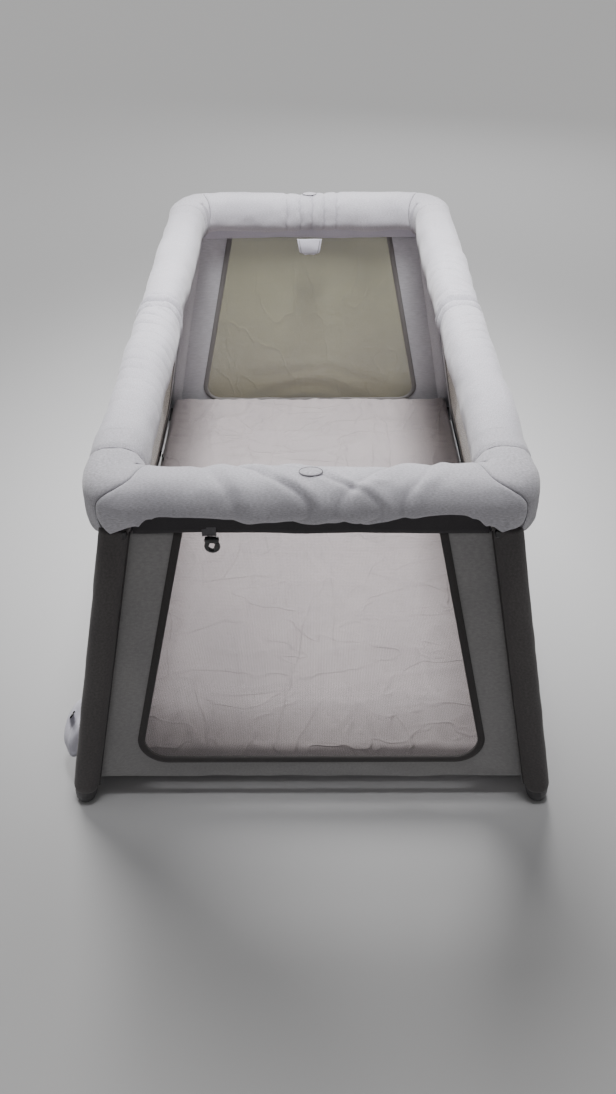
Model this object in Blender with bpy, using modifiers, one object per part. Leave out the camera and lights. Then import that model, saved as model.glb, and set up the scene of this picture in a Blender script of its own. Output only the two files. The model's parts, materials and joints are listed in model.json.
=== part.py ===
"""Folding travel playpen with splayed legs, padded top rails and mesh walls.

Metres, +Z up. The origin is on the floor under the middle of the playpen.
X runs across it, Y runs along it, and the front end is the one at -Y.
The frame folds like a book: both long rails break at the middle, and the
rear end frame swings in towards the front one.
"""
import math

import bmesh
import bpy
from mathutils import Matrix, Vector

# ---------------------------------------------------------------- driving dimensions
RAIL_X = 0.276            # centre line of a long rail, from the middle plane
RAIL_Y = 0.5295           # centre line of a short rail
RAIL_Z = 0.607            # height of the rails' centre line and of the fold pivots
PAD_HALF_X = 0.039        # half width of a long rail's pad
PAD_HALF_Y = 0.040        # half width of a short rail's pad
PAD_HALF_Z = 0.042        # half height of every pad
PAD_ROUND = 0.026         # rounding of the pads' edges

PIVOT_Y = 0.4435          # corner pivots, between an end frame and a long rail
LATCH_Y = 0.045           # latch pivots, on each side of the middle
PIN_RADIUS = 0.004
PIN_CLEARANCE = 0.0004
PAD_END_GAP = 0.021       # a long pad stops this far from its pivots

TUBE_RADIUS = 0.011
TUBE_WALL = 0.0012
LEG_TUBE_RADIUS = 0.010
LEG_TOP = Vector((0.2655, 0.527, 0.605))
LEG_FOOT = Vector((0.400, 0.611, 0.0))
LEG_TUBE_LOW = 0.012      # heights where the leg's parts begin and end
LEG_TUBE_HIGH = 0.590
SLEEVE_LOW = 0.034
SLEEVE_HIGH = 0.555
SLEEVE_RADIUS_LOW = 0.0205
SLEEVE_RADIUS_HIGH = 0.0245

BRACKET_HALF = Vector((0.022, 0.022, 0.023))
BRACKET_Z = 0.603         # height of the bracket's block and of the short tubes
EAR_RADIUS = 0.012
EAR_INSIDE = 0.014        # from the rail's middle plane to an ear's inner face
EAR_OUTSIDE = 0.019
TONGUE_HALF = 0.013       # half thickness of a rail's flattened end
TONGUE_RADIUS = 0.0105
SOCKET_DEPTH_X = 0.0055   # how far a short tube enters its bracket

CAP_LOW_REACH = 0.052     # the cap's lower half stops this far outside the pivot
CAP_HIGH_REACH = 0.018    # its upper half reaches this far past the pivot
CAP_STEP = 0.004          # the step between them is this far below the pivot

PANEL_THICK = 0.003
PANEL_SIDE_GAP = 0.0270   # between a leg's centre line and a panel's edge
PANEL_TOP = 0.5605
END_PANEL_LOW = 0.050
SIDE_WALL_LOW = 0.014
WINDOW_TOP = 0.548
WINDOW_LOW = 0.090
WINDOW_HALF_TOP = 0.187   # half width of an end window at its top
WINDOW_HALF_LOW = 0.296
WINDOW_CORNER = 0.040
SIDE_WINDOW_HALF_TOP = 0.395
SIDE_WINDOW_HALF_LOW = 0.470
SIDE_WINDOW_LOW = 0.115
MESH_THICK = 0.0016
SEAM_GAP = 0.0004         # between pieces that are sewn or laid together

MATTRESS_HALF = Vector((0.374, 0.578, 0.0315))
MATTRESS_TOP = 0.0795
FLOOR_HALF = Vector((0.388, 0.572, 0.0010))
FLOOR_Z = 0.0105

HOUSING_HALF = Vector((0.029, 0.017, 0.0115))
HOUSING_Z = 0.6290
BUTTON_HALF_X = 0.0155
BUTTON_HALF_Y = 0.0095
BUTTON_LOW = 0.6300
BUTTON_TOP = 0.6480
BUTTON_WELL = 0.6240      # floor of the housing's well
BUTTON_CLEARANCE = 0.0006

FOOT_OUTLINE = ((0.0125, 0.003), (0.0165, 0.010), (0.0190, 0.022))   # (radius, height along the leg)
FOOT_RADIUS = 0.0195
FOOT_FLOOR = 0.0155       # thickness of the foot under the leg tube
SOLE_CUT = 0.006          # how much of the slanted foot is cut off level
CUT_HALF = 0.05           # half size of the block that cuts it
PIN_REACH = 0.03          # how far a drilled hole runs past a rail's centre

STRAP_X = -0.140
STRAP_TOP = 0.5600
STRAP_LENGTH = 0.014
STRAP_WIDTH = 0.015
STRAP_THICK = 0.0018
STRAP_OFFSET = 0.0042     # in front of the end panel's middle plane
CLIP_LENGTH = 0.030
CLIP_WIDTH = 0.024
CLIP_THICK = 0.0060
TAB_Y = 0.4840
TAB_TOP = 0.5640
TAB_DROP = 0.042
TAB_HALF_TOP = 0.029
TAB_HALF_LOW = 0.022
TAB_THICK = 0.0030
ZIP_Y = 0.300             # where the door's slider is parked along the left wall
ZIP_Z = 0.096

TURN_STEPS = 16
ENDS = {"front": -1, "rear": 1}
SIDES = {"left": -1, "right": 1}

# ---------------------------------------------------------------- scene and materials
for old in list(bpy.data.objects):
    bpy.data.objects.remove(old)

PARTS = bpy.data.collections.new("playpen")
CUTTERS = bpy.data.collections.new("cutters")
bpy.context.scene.collection.children.link(PARTS)
bpy.context.scene.collection.children.link(CUTTERS)

FINISHES = {
    "rail_fabric": ((0.62, 0.61, 0.67), 0.90, 0.0),
    "leg_fabric": ((0.060, 0.054, 0.054), 0.85, 0.0),
    "panel_fabric": ((0.28, 0.27, 0.29), 0.85, 0.0),
    "mesh_fabric": ((0.42, 0.41, 0.38), 0.80, 0.0),
    "sheet_fabric": ((0.52, 0.46, 0.47), 0.90, 0.0),
    "floor_fabric": ((0.11, 0.11, 0.12), 0.90, 0.0),
    "webbing": ((0.24, 0.23, 0.25), 0.80, 0.0),
    "black_plastic": ((0.012, 0.012, 0.013), 0.35, 0.0),
    "grey_plastic": ((0.10, 0.10, 0.11), 0.45, 0.0),
    "aluminium": ((0.70, 0.70, 0.72), 0.35, 1.0),
    "steel": ((0.55, 0.55, 0.56), 0.30, 1.0),
}


def make_material(slot):
    """A Principled material for one of the slots above."""
    colour, roughness, metallic = FINISHES[slot]
    material = bpy.data.materials.new(slot)
    material.use_nodes = True
    shader = material.node_tree.nodes["Principled BSDF"]
    shader.inputs["Base Color"].default_value = (*colour, 1.0)
    shader.inputs["Roughness"].default_value = roughness
    shader.inputs["Metallic"].default_value = metallic
    return material


MATERIALS = {slot: make_material(slot) for slot in FINISHES}


# ---------------------------------------------------------------- modelling helpers
def add_object(name, mesh, slot=None):
    """Link a mesh as a part, or as a cutter where it has no material slot."""
    item = bpy.data.objects.new(name, mesh)
    if slot is None:
        CUTTERS.objects.link(item)
        item.hide_render = True
        item.display_type = "WIRE"
    else:
        PARTS.objects.link(item)
        mesh.materials.append(MATERIALS[slot])
    return item


def set_origin(item, point):
    """Put an object's origin at a point, leaving its shape where it is."""
    point = Vector(point)
    item.data.transform(Matrix.Translation(-point))
    item.location = point
    return item


def box(name, half, centre, slot=None, rounding=0.0, segments=2):
    """A box with rounded edges."""
    mesh = bpy.data.meshes.new(name)
    cage = bmesh.new()
    bmesh.ops.create_cube(cage, size=2.0)
    bmesh.ops.scale(cage, vec=half, verts=cage.verts)
    cage.to_mesh(mesh)
    cage.free()
    item = add_object(name, mesh, slot)
    item.location = centre
    if rounding:
        bevel = item.modifiers.new("rounded", "BEVEL")
        bevel.width = rounding
        bevel.segments = segments
        bevel.limit_method = "NONE"
        if slot:
            mesh.shade_smooth()
    return item


def plate(name, outlines, thickness, matrix, slot=None):
    """A flat outline, with holes if it has more than one loop, extruded on both sides."""
    curve = bpy.data.curves.new(name, "CURVE")
    curve.dimensions = "2D"
    curve.fill_mode = "BOTH"
    curve.extrude = thickness / 2
    for outline in outlines:
        spline = curve.splines.new("POLY")
        spline.points.add(len(outline) - 1)
        for point, (u, v) in zip(spline.points, outline):
            point.co = (u, v, 0.0, 1.0)
        spline.use_cyclic_u = True
    guide = bpy.data.objects.new(name + "_outline", curve)
    CUTTERS.objects.link(guide)
    bpy.context.view_layer.update()
    mesh = bpy.data.meshes.new_from_object(guide.evaluated_get(bpy.context.evaluated_depsgraph_get()))
    mesh.name = name
    bpy.data.objects.remove(guide)
    bpy.data.curves.remove(curve)
    solid = bmesh.new()
    solid.from_mesh(mesh)
    bmesh.ops.remove_doubles(solid, verts=solid.verts, dist=0.00005)
    bmesh.ops.recalc_face_normals(solid, faces=solid.faces)
    solid.to_mesh(mesh)
    solid.free()
    mesh.materials.clear()
    item = add_object(name, mesh, slot)
    item.matrix_world = matrix
    return item


def rod(name, start, end, radius, slot=None, sides=TURN_STEPS):
    """A solid round bar between two points."""
    start, end = Vector(start), Vector(end)
    mesh = bpy.data.meshes.new(name)
    bar = bmesh.new()
    bmesh.ops.create_cone(bar, cap_ends=True, segments=sides, radius1=radius, radius2=radius,
                          depth=(end - start).length)
    bar.to_mesh(mesh)
    bar.free()
    item = add_object(name, mesh, slot)
    item.matrix_world = axis_frame((start + end) / 2, end - start)
    return item


def axis_frame(point, direction):
    """A frame at a point whose +Z runs along a direction."""
    turn = Vector(direction).to_track_quat("Z", "Y").to_matrix().to_4x4()
    return Matrix.Translation(point) @ turn


def turned(name, profile, matrix, slot, ring=False):
    """A profile of (radius, height) points turned about its Z axis."""
    mesh = bpy.data.meshes.new(name)
    edges = [(i, i + 1) for i in range(len(profile) - 1)]
    if ring:
        edges.append((len(profile) - 1, 0))
    mesh.from_pydata([(r, 0.0, z) for r, z in profile], edges, [])
    item = add_object(name, mesh, slot)
    item.matrix_world = matrix
    screw = item.modifiers.new("turned", "SCREW")
    screw.steps = TURN_STEPS
    screw.render_steps = TURN_STEPS
    screw.use_merge_vertices = True
    screw.merge_threshold = 0.0001
    screw.use_smooth_shade = True
    return item


def boolean(item, other, operation):
    """Cut another object out of an item, or join it on."""
    modifier = item.modifiers.new(other.name, "BOOLEAN")
    modifier.object = other
    modifier.operation = operation
    modifier.solver = "EXACT"
    return item


def arc(centre, radius, start, end, steps):
    """Points along an arc, angles in degrees."""
    angles = [math.radians(start + (end - start) * i / steps) for i in range(steps + 1)]
    return [(centre[0] + radius * math.cos(a), centre[1] + radius * math.sin(a)) for a in angles]


def across(x, y=0.0, z=0.0):
    """A frame whose plate lies in the YZ plane: its u runs along +Y and its v along +Z."""
    turn = Matrix(((0, 0, 1), (1, 0, 0), (0, 1, 0))).to_4x4()
    return Matrix.Translation((x, y, z)) @ turn


def leg_x(z):
    """Distance of a leg's centre line from the middle plane, across."""
    return LEG_TOP.x + (LEG_FOOT.x - LEG_TOP.x) * (LEG_TOP.z - z) / LEG_TOP.z


def leg_y(z):
    """Distance of a leg's centre line from the middle, along the playpen."""
    return LEG_TOP.y + (LEG_FOOT.y - LEG_TOP.y) * (LEG_TOP.z - z) / LEG_TOP.z


def leg_point(sx, sy, z):
    """A point on a leg's centre line at a height."""
    return Vector((sx * leg_x(z), sy * leg_y(z), z))


def end_frame(sy, offset=0.0):
    """The slanted plane of an end panel: u across, v up the slope, from the floor."""
    low, high = Vector((0, sy * leg_y(0), 0)), Vector((0, sy * LEG_TOP.y, LEG_TOP.z))
    up = (high - low).normalized()
    right = Vector((1, 0, 0))
    out = right.cross(up)
    turn = Matrix((right, up, out)).transposed().to_4x4()
    side = 1 if out.y * sy > 0 else -1
    return Matrix.Translation(low + out * side * offset) @ turn


def side_frame(sx, offset=0.0):
    """The slanted plane of a side wall: u along the playpen, v up the slope."""
    low, high = Vector((sx * leg_x(0), 0, 0)), Vector((sx * LEG_TOP.x, 0, LEG_TOP.z))
    up = (high - low).normalized()
    along = Vector((0, 1, 0))
    out = along.cross(up)
    turn = Matrix((along, up, out)).transposed().to_4x4()
    side = 1 if out.x * sx > 0 else -1
    return Matrix.Translation(low + out * side * offset) @ turn


# Length along the slope for each metre of height.
END_SLOPE = math.hypot(LEG_FOOT.y - LEG_TOP.y, LEG_TOP.z) / LEG_TOP.z
SIDE_SLOPE = math.hypot(LEG_FOOT.x - LEG_TOP.x, LEG_TOP.z) / LEG_TOP.z


def trapezoid(half_low, half_high, low, high):
    """Four corners, wider at the bottom."""
    return [(-half_low, low), (half_low, low), (half_high, high), (-half_high, high)]


def window_outline(half_low, half_high, low, high, corner, steps=4):
    """A trapezoid whose two lower corners are rounded."""
    lean = (half_low - half_high) / (high - low)
    centre_u = half_low - corner * 1.15
    right = arc((centre_u, low + corner), corner, -90, math.degrees(math.atan(lean)), steps)
    left = [(-u, v) for u, v in reversed(right)]
    return right + [(half_high, high), (-half_high, high)] + left


# ---------------------------------------------------------------- end frames
def corner_bracket(prefix, sx, sy):
    """Moulded block on top of a leg, with two ears for the long rail's pivot."""
    centre = Vector((sx * RAIL_X, sy * RAIL_Y, BRACKET_Z))
    bracket = box(prefix + "_bracket", BRACKET_HALF, centre, "grey_plastic", 0.004, 2)
    root_y = RAIL_Y - BRACKET_HALF.y + 0.004
    ear = [(sy * root_y, RAIL_Z + EAR_RADIUS)]
    for u, v in arc((PIVOT_Y, RAIL_Z), EAR_RADIUS, 90, 270, 8):
        ear.append((sy * u, v))
    ear.append((sy * root_y, RAIL_Z - EAR_RADIUS))
    for k in (-1, 1):
        x = sx * RAIL_X + k * (EAR_INSIDE + EAR_OUTSIDE) / 2
        lug = plate(f"{prefix}_ear_{k}", [ear], EAR_OUTSIDE - EAR_INSIDE, across(x))
        boolean(bracket, lug, "UNION")
    reach = RAIL_X + PIN_REACH
    hole = rod(prefix + "_pin_hole", (sx * (RAIL_X - PIN_REACH), sy * PIVOT_Y, RAIL_Z),
               (sx * reach, sy * PIVOT_Y, RAIL_Z), PIN_RADIUS + PIN_CLEARANCE)
    boolean(bracket, hole, "DIFFERENCE")
    socket_high = leg_point(sx, sy, LEG_TUBE_HIGH + 0.004)
    socket = rod(prefix + "_leg_socket", leg_point(sx, sy, 0.55), socket_high,
                 LEG_TUBE_RADIUS + SEAM_GAP)
    boolean(bracket, socket, "DIFFERENCE")
    inner = RAIL_X - BRACKET_HALF.x
    rail_socket = rod(prefix + "_rail_socket", (sx * (inner - 0.01), sy * RAIL_Y, BRACKET_Z),
                      (sx * (inner + SOCKET_DEPTH_X), sy * RAIL_Y, BRACKET_Z), TUBE_RADIUS + SEAM_GAP)
    boolean(bracket, rail_socket, "DIFFERENCE")


def corner_pin(prefix, sx, sy):
    """Headed steel pin through the two ears and the rail's flattened end."""
    half = EAR_OUTSIDE + 0.0012
    pin = [(0, half), (PIN_RADIUS + 0.001, half), (PIN_RADIUS + 0.001, EAR_OUTSIDE + 0.0003),
           (PIN_RADIUS, EAR_OUTSIDE + 0.0003), (PIN_RADIUS, -half), (0, -half)]
    place = axis_frame((sx * RAIL_X, sy * PIVOT_Y, RAIL_Z), (sx, 0, 0))
    turned(prefix + "_pivot_pin", pin, place, "steel")


def corner_cap(prefix, sx, sy):
    """Padded fabric cap over a corner; its lower half is cut back for the folding rail."""
    outer = RAIL_Y + PAD_HALF_Y
    low, step, high = RAIL_Z - PAD_HALF_Z, RAIL_Z - CAP_STEP, RAIL_Z + PAD_HALF_Z
    reach_low, reach_high = PIVOT_Y + CAP_LOW_REACH, PIVOT_Y - CAP_HIGH_REACH
    rounding = 0.022
    outline = arc((outer - rounding, high - rounding), rounding, 90, 0, 4)
    outline += arc((outer - rounding, low + rounding), rounding, 0, -90, 4)
    outline += [(reach_low, low), (reach_low, step), (reach_high, step), (reach_high, high)]
    outline = [(sy * u, v) for u, v in outline]
    cap = plate(prefix + "_corner_cap", [outline], 2 * PAD_HALF_X, across(sx * RAIL_X), "rail_fabric")
    gap = 0.0006
    pocket_top = BRACKET_Z + BRACKET_HALF.z + gap
    pocket_low = low - 0.01
    pocket = box(prefix + "_block_pocket",
                 (BRACKET_HALF.x + gap, BRACKET_HALF.y + gap, (pocket_top - pocket_low) / 2),
                 (sx * RAIL_X, sy * RAIL_Y, (pocket_top + pocket_low) / 2))
    boolean(cap, pocket, "DIFFERENCE")
    slot_top = RAIL_Z + EAR_RADIUS + 0.001
    slot_far, slot_near = RAIL_Y, reach_high - 0.01
    slot = box(prefix + "_ear_pocket",
               (EAR_OUTSIDE + 0.0025, (slot_far - slot_near) / 2, (slot_top - pocket_low) / 2),
               (sx * RAIL_X, sy * (slot_far + slot_near) / 2, (slot_top + pocket_low) / 2))
    boolean(cap, slot, "DIFFERENCE")
    tube_hole = rod(prefix + "_tube_hole", (sx * (RAIL_X - PAD_HALF_X - 0.01), sy * RAIL_Y, BRACKET_Z),
                    (sx * RAIL_X, sy * RAIL_Y, BRACKET_Z), TUBE_RADIUS + gap)
    boolean(cap, tube_hole, "DIFFERENCE")


def leg(prefix, sx, sy):
    """Leg tube, its foot and the fabric sleeve around it."""
    low, high = leg_point(sx, sy, LEG_TUBE_LOW), leg_point(sx, sy, LEG_TUBE_HIGH)
    length = (high - low).length
    tube = [(LEG_TUBE_RADIUS, length), (LEG_TUBE_RADIUS, 0), (LEG_TUBE_RADIUS - TUBE_WALL, 0),
            (LEG_TUBE_RADIUS - TUBE_WALL, length)]
    turned(prefix + "_leg_tube", tube, axis_frame(low, high - low), "aluminium", ring=True)

    low, high = leg_point(sx, sy, SLEEVE_LOW), leg_point(sx, sy, SLEEVE_HIGH)
    length = (high - low).length
    inner = LEG_TUBE_RADIUS + SEAM_GAP
    sleeve = [(SLEEVE_RADIUS_HIGH, length), (SLEEVE_RADIUS_LOW, 0), (inner, 0), (inner, length)]
    turned(prefix + "_leg_sleeve", sleeve, axis_frame(low, high - low), "leg_fabric", ring=True)

    sole = leg_point(sx, sy, -SOLE_CUT)
    axis = leg_point(sx, sy, SLEEVE_LOW) - sole
    top = axis.length - SEAM_GAP
    cup = [(inner, top), (inner, FOOT_FLOOR), (0, FOOT_FLOOR)]
    foot = [(0, 0)] + list(FOOT_OUTLINE) + [(FOOT_RADIUS, top)] + cup
    moulding = turned(prefix + "_foot", foot, axis_frame(sole, axis), "grey_plastic")
    under = box(prefix + "_floor", (CUT_HALF,) * 3, (sx * LEG_FOOT.x, sy * LEG_FOOT.y, -CUT_HALF))
    boolean(moulding, under, "DIFFERENCE")


def short_rail(prefix, sy):
    """Tube, pad, release housing and release button of a short rail."""
    reach = RAIL_X - BRACKET_HALF.x + SOCKET_DEPTH_X - 0.0005
    place = axis_frame((-reach, sy * RAIL_Y, BRACKET_Z), (1, 0, 0))
    inner = TUBE_RADIUS - TUBE_WALL
    tube = [(TUBE_RADIUS, 2 * reach), (TUBE_RADIUS, 0), (inner, 0), (inner, 2 * reach)]
    turned(prefix + "_short_rail_tube", tube, place, "aluminium", ring=True)

    half_x = RAIL_X - PAD_HALF_X - SEAM_GAP
    pad = box(prefix + "_short_rail_pad", (half_x, PAD_HALF_Y, PAD_HALF_Z),
              (0, sy * RAIL_Y, RAIL_Z), "rail_fabric", PAD_ROUND, 3)
    pad.modifiers["rounded"].limit_method = "WEIGHT"
    weights = pad.data.attributes.new("bevel_weight_edge", "FLOAT", "EDGE")
    for edge in pad.data.edges:
        ends = [pad.data.vertices[v].co for v in edge.vertices]
        weights.data[edge.index].value = 1.0 if ends[0].x * ends[1].x < 0 else 0.0
    hole = rod(prefix + "_pad_hole", (-0.3, sy * RAIL_Y, BRACKET_Z), (0.3, sy * RAIL_Y, BRACKET_Z),
               TUBE_RADIUS + SEAM_GAP)
    boolean(pad, hole, "DIFFERENCE")
    gap = 0.0006
    pocket_low = HOUSING_Z - HOUSING_HALF.z - gap
    pocket_top = RAIL_Z + PAD_HALF_Z + 0.01
    pocket = box(prefix + "_housing_pocket",
                 (HOUSING_HALF.x + gap, HOUSING_HALF.y + gap, (pocket_top - pocket_low) / 2),
                 (0, sy * RAIL_Y, (pocket_top + pocket_low) / 2))
    boolean(pad, pocket, "DIFFERENCE")

    housing = box(prefix + "_release_housing", HOUSING_HALF, (0, sy * RAIL_Y, HOUSING_Z),
                  "grey_plastic", 0.003, 2)
    well = oval_prism(prefix + "_button_well", sy, BUTTON_WELL, HOUSING_Z + PIN_REACH, BUTTON_CLEARANCE)
    boolean(housing, well, "DIFFERENCE")
    button = oval_prism(prefix + "_release_button", sy, BUTTON_LOW, BUTTON_TOP, 0.0, "grey_plastic")
    crown = button.modifiers.new("rounded", "BEVEL")
    crown.width = 0.002
    crown.segments = 2
    crown.limit_method = "ANGLE"
    crown.angle_limit = math.radians(60)


def oval_prism(name, sy, low, high, extra, slot=None):
    """An upright oval column, for the button and its well."""
    steps = 20
    loop = [((BUTTON_HALF_X + extra) * math.cos(2 * math.pi * i / steps),
             (BUTTON_HALF_Y + extra) * math.sin(2 * math.pi * i / steps)) for i in range(steps)]
    place = Matrix.Translation((0, sy * RAIL_Y, (low + high) / 2))
    return plate(name, [loop], high - low, place, slot)


def end_panel(prefix, sy):
    """Fabric surround of an end panel and its mesh window."""
    low, high = END_PANEL_LOW * END_SLOPE, PANEL_TOP * END_SLOPE
    outer = trapezoid(leg_x(END_PANEL_LOW) - PANEL_SIDE_GAP, leg_x(PANEL_TOP) - PANEL_SIDE_GAP, low, high)
    window_low, window_high = WINDOW_LOW * END_SLOPE, WINDOW_TOP * END_SLOPE
    window = window_outline(WINDOW_HALF_LOW, WINDOW_HALF_TOP, window_low, window_high, WINDOW_CORNER)
    plate(prefix + "_panel", [outer, window], PANEL_THICK, end_frame(sy), "panel_fabric")
    inner = window_outline(WINDOW_HALF_LOW - SEAM_GAP * 1.5, WINDOW_HALF_TOP - SEAM_GAP * 1.5,
                           window_low + SEAM_GAP, window_high - SEAM_GAP, WINDOW_CORNER)
    plate(prefix + "_window", [inner], MESH_THICK, end_frame(sy), "mesh_fabric")


for end, y_sign in ENDS.items():
    short_rail(end, y_sign)
    end_panel(end, y_sign)
    for side, x_sign in SIDES.items():
        corner_bracket(f"{end}_{side}", x_sign, y_sign)
        corner_pin(f"{end}_{side}", x_sign, y_sign)
        corner_cap(f"{end}_{side}", x_sign, y_sign)
        leg(f"{end}_{side}", x_sign, y_sign)


# ---------------------------------------------------------------- long rails
def rail_half(prefix, sx, sy):
    """Tube of half a long rail, with a flattened end at each pivot, and its pad."""
    near, far = LATCH_Y, PIVOT_Y
    tube = rod(prefix + "_tube", (sx * RAIL_X, sy * (near + 0.012), RAIL_Z),
               (sx * RAIL_X, sy * (far - 0.012), RAIL_Z), TUBE_RADIUS, "aluminium")
    for name, pivot, inward in (("corner", far, -1), ("latch", near, 1)):
        start = 90 if inward < 0 else 270
        tongue = [(u, v) for u, v in arc((pivot, RAIL_Z), TONGUE_RADIUS, start, start - 180, 8)]
        root = pivot + inward * 0.022
        tongue += [(root, tongue[-1][1]), (root, tongue[0][1])]
        tongue = [(sy * u, v) for u, v in tongue]
        plug = plate(f"{prefix}_{name}_tongue", [tongue], 2 * TONGUE_HALF, across(sx * RAIL_X))
        boolean(tube, plug, "UNION")
        hole = rod(f"{prefix}_{name}_hole", (sx * (RAIL_X - PIN_REACH), sy * pivot, RAIL_Z),
                   (sx * (RAIL_X + PIN_REACH), sy * pivot, RAIL_Z), PIN_RADIUS + PIN_CLEARANCE)
        boolean(tube, hole, "DIFFERENCE")
    pad_near, pad_far = near + PAD_END_GAP, far - PAD_END_GAP
    pad = box(prefix + "_pad", (PAD_HALF_X, (pad_far - pad_near) / 2, PAD_HALF_Z),
              (sx * RAIL_X, sy * (pad_far + pad_near) / 2, RAIL_Z), "rail_fabric", PAD_ROUND, 3)
    pad.modifiers["rounded"].limit_method = "WEIGHT"
    weights = pad.data.attributes.new("bevel_weight_edge", "FLOAT", "EDGE")
    for edge in pad.data.edges:
        ends = [pad.data.vertices[v].co for v in edge.vertices]
        weights.data[edge.index].value = 1.0 if ends[0].y * ends[1].y < 0 else 0.0
    hollow = rod(prefix + "_pad_hole", (sx * RAIL_X, sy * (pad_near - 0.02), RAIL_Z),
                 (sx * RAIL_X, sy * (pad_far + 0.02), RAIL_Z), TUBE_RADIUS + SEAM_GAP)
    boolean(pad, hollow, "DIFFERENCE")
    relief = 0.006
    for y in (pad_near, pad_far):
        mouth = box(f"{prefix}_mouth_{y:.2f}", (TONGUE_HALF + 0.0006, relief, TUBE_RADIUS + 0.001),
                    (sx * RAIL_X, sy * y, RAIL_Z))
        boolean(pad, mouth, "DIFFERENCE")


def latch(prefix, sx):
    """Channel that joins the two halves of a long rail, with its two pins."""
    half_y = LATCH_Y + EAR_RADIUS
    high, low = RAIL_Z + EAR_RADIUS, RAIL_Z - 0.024
    floor_top = low + 0.004
    channel = box(prefix + "_latch_channel", (EAR_OUTSIDE, half_y, (high - low) / 2),
                  (sx * RAIL_X, 0, (high + low) / 2), "black_plastic", 0.002, 2)
    inside = box(prefix + "_latch_inside", (EAR_INSIDE, half_y + 0.01, (high - floor_top) / 2 + 0.01),
                 (sx * RAIL_X, 0, (high + floor_top) / 2 + 0.01))
    boolean(channel, inside, "DIFFERENCE")
    for name, sy in ENDS.items():
        hole = rod(f"{prefix}_latch_{name}_hole", (sx * (RAIL_X - PIN_REACH), sy * LATCH_Y, RAIL_Z),
                   (sx * (RAIL_X + PIN_REACH), sy * LATCH_Y, RAIL_Z), PIN_RADIUS + PIN_CLEARANCE)
        boolean(channel, hole, "DIFFERENCE")
        half = EAR_OUTSIDE + 0.0012
        pin = [(0, half), (PIN_RADIUS + 0.001, half), (PIN_RADIUS + 0.001, EAR_OUTSIDE + 0.0003),
               (PIN_RADIUS, EAR_OUTSIDE + 0.0003), (PIN_RADIUS, -half), (0, -half)]
        place = axis_frame((sx * RAIL_X, sy * LATCH_Y, RAIL_Z), (sx, 0, 0))
        turned(f"{prefix}_latch_{name}_pin", pin, place, "steel")


for side, x_sign in SIDES.items():
    latch(side, x_sign)
    for end, y_sign in ENDS.items():
        rail_half(f"{side}_rail_{end}", x_sign, y_sign)


# ---------------------------------------------------------------- walls, floor and mattress
def side_wall(prefix, sx):
    """Fabric surround of a long side wall and its mesh window."""
    low, high = SIDE_WALL_LOW * SIDE_SLOPE, PANEL_TOP * SIDE_SLOPE
    outer = trapezoid(leg_y(SIDE_WALL_LOW) - PANEL_SIDE_GAP, leg_y(PANEL_TOP) - PANEL_SIDE_GAP, low, high)
    window_low, window_high = SIDE_WINDOW_LOW * SIDE_SLOPE, WINDOW_TOP * SIDE_SLOPE
    window = window_outline(SIDE_WINDOW_HALF_LOW, SIDE_WINDOW_HALF_TOP, window_low, window_high,
                            WINDOW_CORNER)
    plate(prefix + "_wall", [outer, window], PANEL_THICK, side_frame(sx), "panel_fabric")
    inner = window_outline(SIDE_WINDOW_HALF_LOW - SEAM_GAP * 1.5, SIDE_WINDOW_HALF_TOP - SEAM_GAP * 1.5,
                           window_low + SEAM_GAP, window_high - SEAM_GAP, WINDOW_CORNER)
    plate(prefix + "_wall_window", [inner], MESH_THICK, side_frame(sx), "mesh_fabric")


for side, x_sign in SIDES.items():
    side_wall(side, x_sign)

box("floor_sheet", FLOOR_HALF, (0, 0, FLOOR_Z), "floor_fabric")
mattress = box("mattress", MATTRESS_HALF, (0, 0, MATTRESS_TOP - MATTRESS_HALF.z), "sheet_fabric", 0.018, 3)


# ---------------------------------------------------------------- small moving pieces
def hanging_strap():
    """Webbing strap that hangs against the front panel, and the clip on its end."""
    place = end_frame(-1, STRAP_OFFSET)
    top = STRAP_TOP * END_SLOPE
    low = top - STRAP_LENGTH
    half = STRAP_WIDTH / 2
    web = [(STRAP_X - half, low), (STRAP_X + half, low), (STRAP_X + half, top), (STRAP_X - half, top)]
    strap = plate("strap_webbing", [web], STRAP_THICK, place, "webbing")
    pivot = place @ Vector((STRAP_X, top, 0))
    strap.data.transform(Matrix.Translation(-pivot) @ strap.matrix_world)
    strap.matrix_world = Matrix.Translation(pivot)
    clip_top, clip_low = low - 0.0008, low - CLIP_LENGTH
    wide = CLIP_WIDTH / 2
    body = arc((STRAP_X, clip_low + wide), wide, -180, 0, 10) + [(STRAP_X + wide * 0.8, clip_top),
                                                                (STRAP_X - wide * 0.8, clip_top)]
    hole = arc((STRAP_X, clip_low + wide), wide * 0.45, 0, 315, 7)
    clip = plate("strap_clip", [body, hole], CLIP_THICK, end_frame(-1, STRAP_OFFSET + 0.0016),
                 "black_plastic")
    clip.data.transform(Matrix.Translation(-pivot) @ clip.matrix_world)
    clip.matrix_world = Matrix.Translation(pivot)


def pull_tab():
    """Fabric tab that hangs under the rear rail."""
    outline = [(-TAB_HALF_LOW, -TAB_DROP), (TAB_HALF_LOW, -TAB_DROP), (TAB_HALF_TOP, 0), (-TAB_HALF_TOP, 0)]
    place = Matrix.Translation((0, TAB_Y, TAB_TOP)) @ Matrix.Rotation(math.radians(90), 4, "X")
    tab = plate("pull_tab", [outline], TAB_THICK, place, "rail_fabric")
    pivot = Vector((0, TAB_Y, TAB_TOP))
    tab.data.transform(Matrix.Translation(-pivot) @ tab.matrix_world)
    tab.matrix_world = Matrix.Translation(pivot)


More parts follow.
